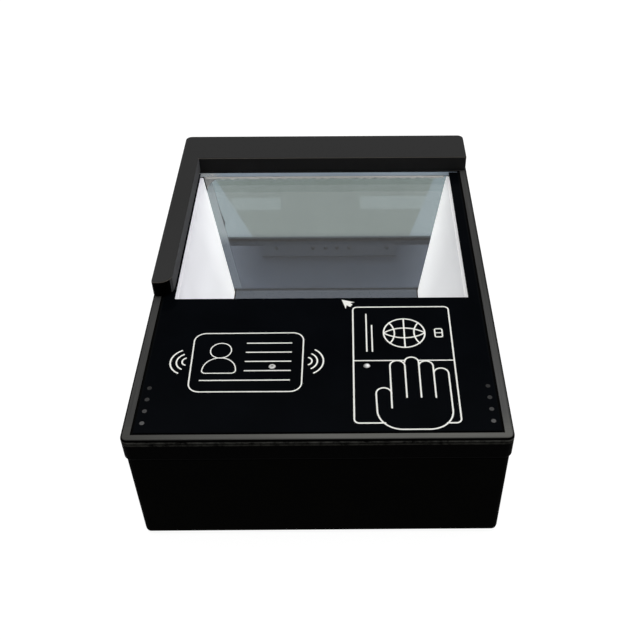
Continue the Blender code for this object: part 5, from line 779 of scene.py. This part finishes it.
def arc_through(one, two, three, steps=14):
    """Points along the circle that passes through three points, from the first to the last."""
    (ax, ay), (bx, by), (cx, cy) = one, two, three
    twice = 2 * (ax * (by - cy) + bx * (cy - ay) + cx * (ay - by))
    a, b, c = ax * ax + ay * ay, bx * bx + by * by, cx * cx + cy * cy
    x = (a * (by - cy) + b * (cy - ay) + c * (ay - by)) / twice
    y = (a * (cx - bx) + b * (ax - cx) + c * (bx - ax)) / twice
    start, middle, end = (math.atan2(py - y, px - x) for px, py in (one, two, three))
    sweep = (end - start) % math.tau
    if (middle - start) % math.tau > sweep:
        sweep -= math.tau
    radius = math.dist((x, y), one)
    turns = [start + sweep * k / steps for k in range(steps + 1)]
    return [(x + radius * math.cos(turn), y + radius * math.sin(turn)) for turn in turns]


def rounded(corners, radii, steps=7):
    """A closed outline with each corner rounded to its own radius."""
    points = []
    for k, corner in enumerate(corners):
        here = Vector(corner)
        before = (Vector(corners[k - 1]) - here).normalized()
        after = (Vector(corners[(k + 1) % len(corners)]) - here).normalized()
        half = before.angle(after) / 2
        radius = radii[k] if isinstance(radii, (list, tuple)) else radii
        if not radius:
            points.append(corner)
            continue
        cut = radius / math.tan(half)
        centre = here + (before + after).normalized() * (radius / math.sin(half))
        first, last = here + before * cut - centre, here + after * cut - centre
        start, end = math.atan2(first.y, first.x), math.atan2(last.y, last.x)
        sweep = (end - start + math.pi) % math.tau - math.pi
        turns = [start + sweep * step / steps for step in range(steps + 1)]
        points += [(centre.x + radius * math.cos(turn), centre.y + radius * math.sin(turn)) for turn in turns]
    return points


def ink_height(layer):
    """Each line lies a hair above the one that it crosses."""
    return print_top + SIGN_THICKNESS + (layer % LAYERS) * LAYER_STEP


def on_panel(point, height):
    """A point of the sign, in millimetres on the panel, as a point of the part."""
    return point[0] * MM, (point[1] + SIGN_ORIGIN) * MM, height


def add_patch(shape, outline, layer):
    """A filled area of ink."""
    face = shape.faces.new([shape.verts.new(on_panel(point, ink_height(layer))) for point in outline])
    thicken(shape, [face], Vector((0, 0, print_top - ink_height(layer))))


def add_line(shape, points, layer, closed=False, round_ends=True, width=SIGN_LINE):
    """A line of ink of even width along the points."""
    height = ink_height(layer)
    path = [Vector(point) for point in points]
    half = width / 2
    left, right = [], []
    for k, here in enumerate(path):
        before = path[k - 1] if k or closed else None
        after = path[(k + 1) % len(path)] if k < len(path) - 1 or closed else None
        into = (here - before).normalized() if before is not None else None
        out = (after - here).normalized() if after is not None else None
        into, out = into or out, out or into
        along = (into + out).normalized()
        offset = Vector((-along.y, along.x)) * (half / max(0.3, along.dot(out)))
        left.append(shape.verts.new(on_panel(here + offset, height)))
        right.append(shape.verts.new(on_panel(here - offset, height)))
    count = len(path)
    faces = [shape.faces.new((left[k], right[k], right[k + 1], left[k + 1])) for k in range(count - 1)]
    if closed:
        faces.append(shape.faces.new((left[-1], right[-1], right[0], left[0])))
    elif round_ends:
        for first, last, tip, inward in ((left[0], right[0], path[0], path[1]),
                                         (right[-1], left[-1], path[-1], path[-2])):
            back = (tip - inward).normalized()
            start = math.atan2(back.y, back.x) - math.pi / 2
            cap = []
            for step in range(1, CAP_STEPS):
                turn = start + math.pi * step / CAP_STEPS
                spot = tip + Vector((math.cos(turn), math.sin(turn))) * half
                cap.append(shape.verts.new(on_panel(spot, height)))
            near = min((first, last), key=lambda vert: (vert.co - cap[0].co).length)
            far = first if near is last else last
            faces.append(shape.faces.new([near, *cap, far]))
    thicken(shape, faces, Vector((0, 0, print_top - height)))


card = bmesh.new()
add_line(card, rounded([(-52.85, 55.5), (-6.95, 55.7), (-6.95, 21.9), (-52.05, 22.0)], 4.6), 0, closed=True,
         width=FINE_LINE)
add_line(card, ring_points(-41.0, 45.2, 4.35, 30), 1, closed=True, width=HEAD_LINE)
shoulders = arc_through((-47.6, 35.0), (-41.0, 40.95), (-34.2, 35.3), 16)
shoulders += rounded([(-47.6, 35.0), (-34.1, 35.3), (-33.9, 32.2), (-48.0, 32.2)], [0, 0, 1.6, 1.6])[2:-1]
add_line(card, shoulders, 2, closed=True, width=HEAD_LINE)
for line_y in (49.5, 44.1, 38.8, 33.5):
    add_line(card, [(-30.6, line_y), (-11.6, line_y)], 3, round_ends=False, width=FINE_LINE)
add_line(card, [(-48.2, 28.2), (-11.7, 28.2)], 3, round_ends=False, width=FINE_LINE)
WAVES = [
    ((-57.1, 45.3), (-61.1, 38.6), (-57.3, 32.4)), ((-56.0, 43.0), (-58.6, 38.8), (-56.1, 34.6)),
    ((-54.9, 40.9), (-56.3, 38.9), (-54.9, 36.9)), ((-1.9, 45.3), (1.6, 38.6), (-2.2, 32.0)),
    ((-3.2, 42.9), (-0.9, 38.7), (-3.3, 34.5)), ((-4.5, 40.8), (-3.1, 38.7), (-4.5, 36.7)),
]
for wave in WAVES:
    add_line(card, arc_through(*wave), 4)
finish_piece("card_sign", card, white_ink, "housing")

booklet = bmesh.new()
add_line(booklet, [(25.9, 5.25), *arc(15.95, 7.25, 2.0, 270, 180, 6), *arc(15.75, 69.8, 1.9, 180, 90, 6),
                   *arc(53.5, 69.8, 1.9, 90, 0, 6), *arc(53.1, 7.1, 2.0, 0, -90, 6), (49.6, 5.1)], 0)
add_line(booklet, [(13.9, 38.8), (34.8, 38.8)], 1, round_ends=False, width=FINE_LINE)
add_line(booklet, [(40.5, 38.8), (55.25, 38.8)], 1, round_ends=False, width=FINE_LINE)
GLOBE = (35.5, 55.2)
GLOBE_RADIUS = 8.75
gx, gy = GLOBE
add_line(booklet, ring_points(gx, gy, GLOBE_RADIUS, 40), 2, closed=True)
add_line(booklet, [(gx, gy - GLOBE_RADIUS), (gx, gy + GLOBE_RADIUS)], 3, round_ends=False)
for side in (-1, 1):
    add_line(booklet, arc_through((gx - GLOBE_RADIUS, gy), (gx, gy + side * 3.0), (gx + GLOBE_RADIUS, gy), 20),
             4 + (side > 0))
    edge = GLOBE_RADIUS * math.sin(math.radians(46))
    add_line(booklet, arc_through((gx + side * edge, gy + edge), (gx + side * 4.15, gy),
                                  (gx + side * edge, gy - edge), 16), 6 + (side > 0))
for bar_x, bar_start, bar_end in ((19.5, 44.0, 67.3), (21.8, 44.0, 60.2)):
    add_line(booklet, [(bar_x, bar_start), (bar_x, bar_end)], 1, round_ends=False, width=0.6)
add_line(booklet, rounded([(48.5, 52.6), (51.6, 52.6), (51.6, 57.6), (48.5, 57.6)], 0.7), 1, closed=True,
         width=0.6)
add_line(booklet, [(48.8, 55.1), (51.3, 55.1)], 2, round_ends=False, width=0.5)
add_patch(booklet, [(9.03, 76.7), (14.75, 74.95), (12.8, 74.5), (13.75, 73.4), (12.75, 71.9), (11.2, 73.0),
                    (10.8, 70.7)], 3)
finish_piece("booklet_sign", booklet, white_ink, "housing")

hand = bmesh.new()
add_line(hand, [(28.7, 12.9), (28.7, 35.1), *arc(31.75, 35.65, 3.05, 180, 0), (34.8, 18.4)], 3)
add_line(hand, [*arc(37.65, 37.8, 2.87, 180, 0), (40.5, 18.4)], 4)
add_line(hand, [*arc(43.4, 35.5, 2.9, 180, 0), (46.3, 18.3)], 5)
add_line(hand, [*arc(49.3, 31.3, 3.0, 180, 0), (52.3, 12.0), *arc(42.9, 11.4, 9.4, 0, -90, 12),
                *arc(32.5, 11.6, 9.6, -90, -180, 12), (22.7, 20.0), *arc(25.75, 20.5, 3.05, 180, 0)], 6)
finish_piece("hand_sign", hand, white_ink, "housing")

# Document guide: an L of satin black ABS, screwed on from below. It stops the page at the back
# and the left. Its faces are smooth moulded; their light and shade and an edge highlight are painted.
guide_abs, tree, place = new_material("black_abs_guide_painted_light")
grain = add_node(tree, "TexNoise", {"Scale": 1 / (0.35 * MM), "Detail": 2.0}, {"Vector": (place, "Object")})
cloud = add_node(tree, "TexNoise", {"Scale": 1 / (25 * MM), "Detail": 3.0}, {"Vector": (place, "Object")})
axes = add_node(tree, "SeparateXYZ", {}, {0: (place, "Object")})
# painted light and shade: the sides darken towards the front, the tops stay mid grey
rearward_painted_light = add_node(tree, "MapRange", {"From Min": -19 * MM, "From Max": 40 * MM}, {"Value": (axes, "Y")})
top_painted_light = add_node(tree, "MixRGB", {"Color1": linear("343434"), "Color2": linear("303030")}, {"Fac": rearward_painted_light})
side_painted_shade = add_node(tree, "MixRGB", {"Color1": linear("020202"), "Color2": linear("242424")}, {"Fac": rearward_painted_light})
geometry = add_node(tree, "NewGeometry")
facing = add_node(tree, "SeparateXYZ", {}, {0: (geometry, "True Normal")})
upward = add_node(tree, "MapRange", {"From Min": 0.25, "From Max": 0.6}, {"Value": (facing, "Z")})
# painted light on the faces turned inward, towards the window
inward = add_node(tree, "MapRange", {"From Min": 0.8, "From Max": 0.95}, {"Value": (facing, "X")})
tone = add_node(tree, "MixRGB", {"Color2": linear("5a5a5c")}, {"Fac": inward, "Color1": side_painted_shade})
tone = add_node(tree, "MixRGB", {}, {"Fac": upward, "Color1": tone, "Color2": top_painted_light})
# painted highlight along the chamfers that face the front
slanted = add_node(tree, "Math", {"operation": "COMPARE", 1: 0.65, 2: 0.27}, {0: (facing, "Z")})
frontward = add_node(tree, "Math", {"operation": "LESS_THAN", 1: -0.3}, {0: (facing, "Y")})
edge_highlight_mask = add_node(tree, "Math", {"operation": "MULTIPLY"}, {0: slanted, 1: frontward})
tone = add_node(tree, "MixRGB", {"Color2": linear("55514c")}, {"Fac": edge_highlight_mask, "Color1": tone})
satin = add_node(tree, "MapRange", {"To Min": 0.42, "To Max": 0.55}, {"Value": grain})
relief = add_node(tree, "Bump", {"Strength": 0.15, "Distance": 0.02 * MM}, {"Height": grain})
shader = add_node(tree, "BsdfPrincipled", {"IOR": 1.53, "Specular IOR Level": 0.006},
                  {"Base Color": tone, "Roughness": satin, "Normal": relief})
add_node(tree, "OutputMaterial", {}, {"Surface": shader})
dress(guide_abs, "document_guide")

# Studio: a pale floor that shows white and keeps the shadow, a white surround for what is seen
# directly or in glass, and a large soft lamp overhead with a weaker one at the right.
FLOOR_REACH = 3.0
SURROUND_LEVEL = 0.30
FLOOR_GLOW = 0.93
LAMPS = [
    ("overhead_lamp", (0.0, 0.25, 1.5), (0, 0, 0.03), 1.8, 21.0),
    ("right_lamp", (1.5, -0.1, 0.9), (0, 0, 0.03), 0.9, 4.0),
]

floor_paint, tree, place = new_material("pale_floor_paper")
fibre = add_node(tree, "TexNoise", {"Scale": 1 / (3 * MM), "Detail": 3.0}, {"Vector": (place, "Object")})
pale = add_node(tree, "MixRGB", {"Color1": linear("eeeeee"), "Color2": linear("f2f2f2")}, {"Fac": fibre})
bounced = add_node(tree, "BsdfDiffuse", {}, {"Color": pale})
dim = add_node(tree, "BsdfDiffuse", {"Color": linear("6f6f6f")})
shine = add_node(tree, "Emission", {"Color": linear("ffffff"), "Strength": FLOOR_GLOW})
seen = add_node(tree, "AddShader", {}, {0: dim, 1: shine})
path = add_node(tree, "LightPath")
direct = add_node(tree, "Math", {"operation": "MAXIMUM"},
                  {0: (path, "Is Camera Ray"), 1: (path, "Is Glossy Ray")})
direct = add_node(tree, "Math", {"operation": "MAXIMUM"}, {0: direct, 1: (path, "Is Transmission Ray")})
mixed = add_node(tree, "MixShader", {}, {0: direct, 1: bounced, 2: seen})
add_node(tree, "OutputMaterial", {}, {"Surface": mixed})

shape = bmesh.new()
bmesh.ops.create_grid(shape, x_segments=1, y_segments=1, size=FLOOR_REACH)
mesh = bpy.data.meshes.new("floor")
shape.to_mesh(mesh)
shape.free()
mesh.materials.append(floor_paint)
floor = bpy.data.objects.new("floor", mesh)
bpy.context.scene.collection.objects.link(floor)

world = bpy.data.worlds.new("white_surround")
bpy.context.scene.world = world
world.use_nodes = True
tree = world.node_tree
tree.nodes.clear()
path = add_node(tree, "LightPath")
direct = add_node(tree, "Math", {"operation": "MAXIMUM"},
                  {0: (path, "Is Camera Ray"), 1: (path, "Is Glossy Ray")})
direct = add_node(tree, "Math", {"operation": "MAXIMUM"}, {0: direct, 1: (path, "Is Transmission Ray")})
level = add_node(tree, "Math", {"operation": "MULTIPLY_ADD", 1: 1 - SURROUND_LEVEL, 2: SURROUND_LEVEL},
                 {0: direct})
sky = add_node(tree, "Background", {"Color": linear("ffffff")}, {"Strength": level})
add_node(tree, "OutputWorld", {}, {"Surface": sky})

for name, spot, aim, size, power in LAMPS:
    lamp = bpy.data.lights.new(name, "AREA")
    lamp.shape = "SQUARE"
    lamp.size = size
    lamp.energy = power
    holder = bpy.data.objects.new(name, lamp)
    holder.location = spot
    holder.rotation_euler = (Vector(aim) - Vector(spot)).to_track_quat("-Z", "Y").to_euler()
    bpy.context.scene.collection.objects.link(holder)

BACKDROP_Y = -1.5
BACKDROP = [
    ("studio_wall", "a9aaa4", 1.5, 0.0, [(-1.5, -0.3), (-1.5, 2.2), (1.5, 2.2), (1.5, -0.3)]),
    ("left_flag", "bcc0c2", 1.5, 0.004, [(-0.6, 0.5), (-0.157, 0.5), (-0.315, 0.75), (-0.371, 0.85), (-0.6, 0.85)]),
    ("right_flag", "bcc0c2", 1.5, 0.004, [(0.119, 0.5), (0.6, 0.5), (0.6, 0.85), (0.27, 0.85), (0.221, 0.7375)]),
    ("dark_desk", "5a5f62", 1.5, 0.006, [(-0.6, 0.2), (-0.6, 0.5928), (0.6, 0.5928), (0.6, 0.2)]),
    ("left_lamp_field", "b8bab6", 1.5, 0.002, [(-0.269, 0.663), (-0.150, 0.663), (-0.150, 0.694), (-0.269, 0.694)]),
    ("right_lamp_field", "b8bab6", 1.5, 0.002, [(0.042, 0.664), (0.212, 0.664), (0.212, 0.697), (0.042, 0.697)]),
]
for name, colour, strength, ahead, corners in BACKDROP:
    paint, tree, place = new_material(name + "_paint")
    glow = add_node(tree, "Emission", {"Color": linear(colour), "Strength": strength})
    add_node(tree, "OutputMaterial", {}, {"Surface": glow})
    shape = bmesh.new()
    shape.faces.new([shape.verts.new((x, BACKDROP_Y + ahead, z)) for x, z in corners])
    mesh = bpy.data.meshes.new(name)
    shape.to_mesh(mesh)
    shape.free()
    mesh.materials.append(paint)
    board = bpy.data.objects.new(name, mesh)
    bpy.context.scene.collection.objects.link(board)
    board.visible_camera = board.visible_diffuse = board.visible_shadow = False

lens = bpy.data.cameras.new("photo_camera")
lens.lens = 49.88817
lens.sensor_width = 36.0
lens.shift_x = -0.0495099
camera = bpy.data.objects.new("photo_camera", lens)
camera.location = (0.01197312, -0.31620100, 0.32033984)
camera.rotation_euler = [math.radians(angle) for angle in (47.38631, 0.13464, -0.40289)]
bpy.context.scene.collection.objects.link(camera)
bpy.context.scene.camera = camera
bpy.context.scene.view_settings.view_transform = "Standard"
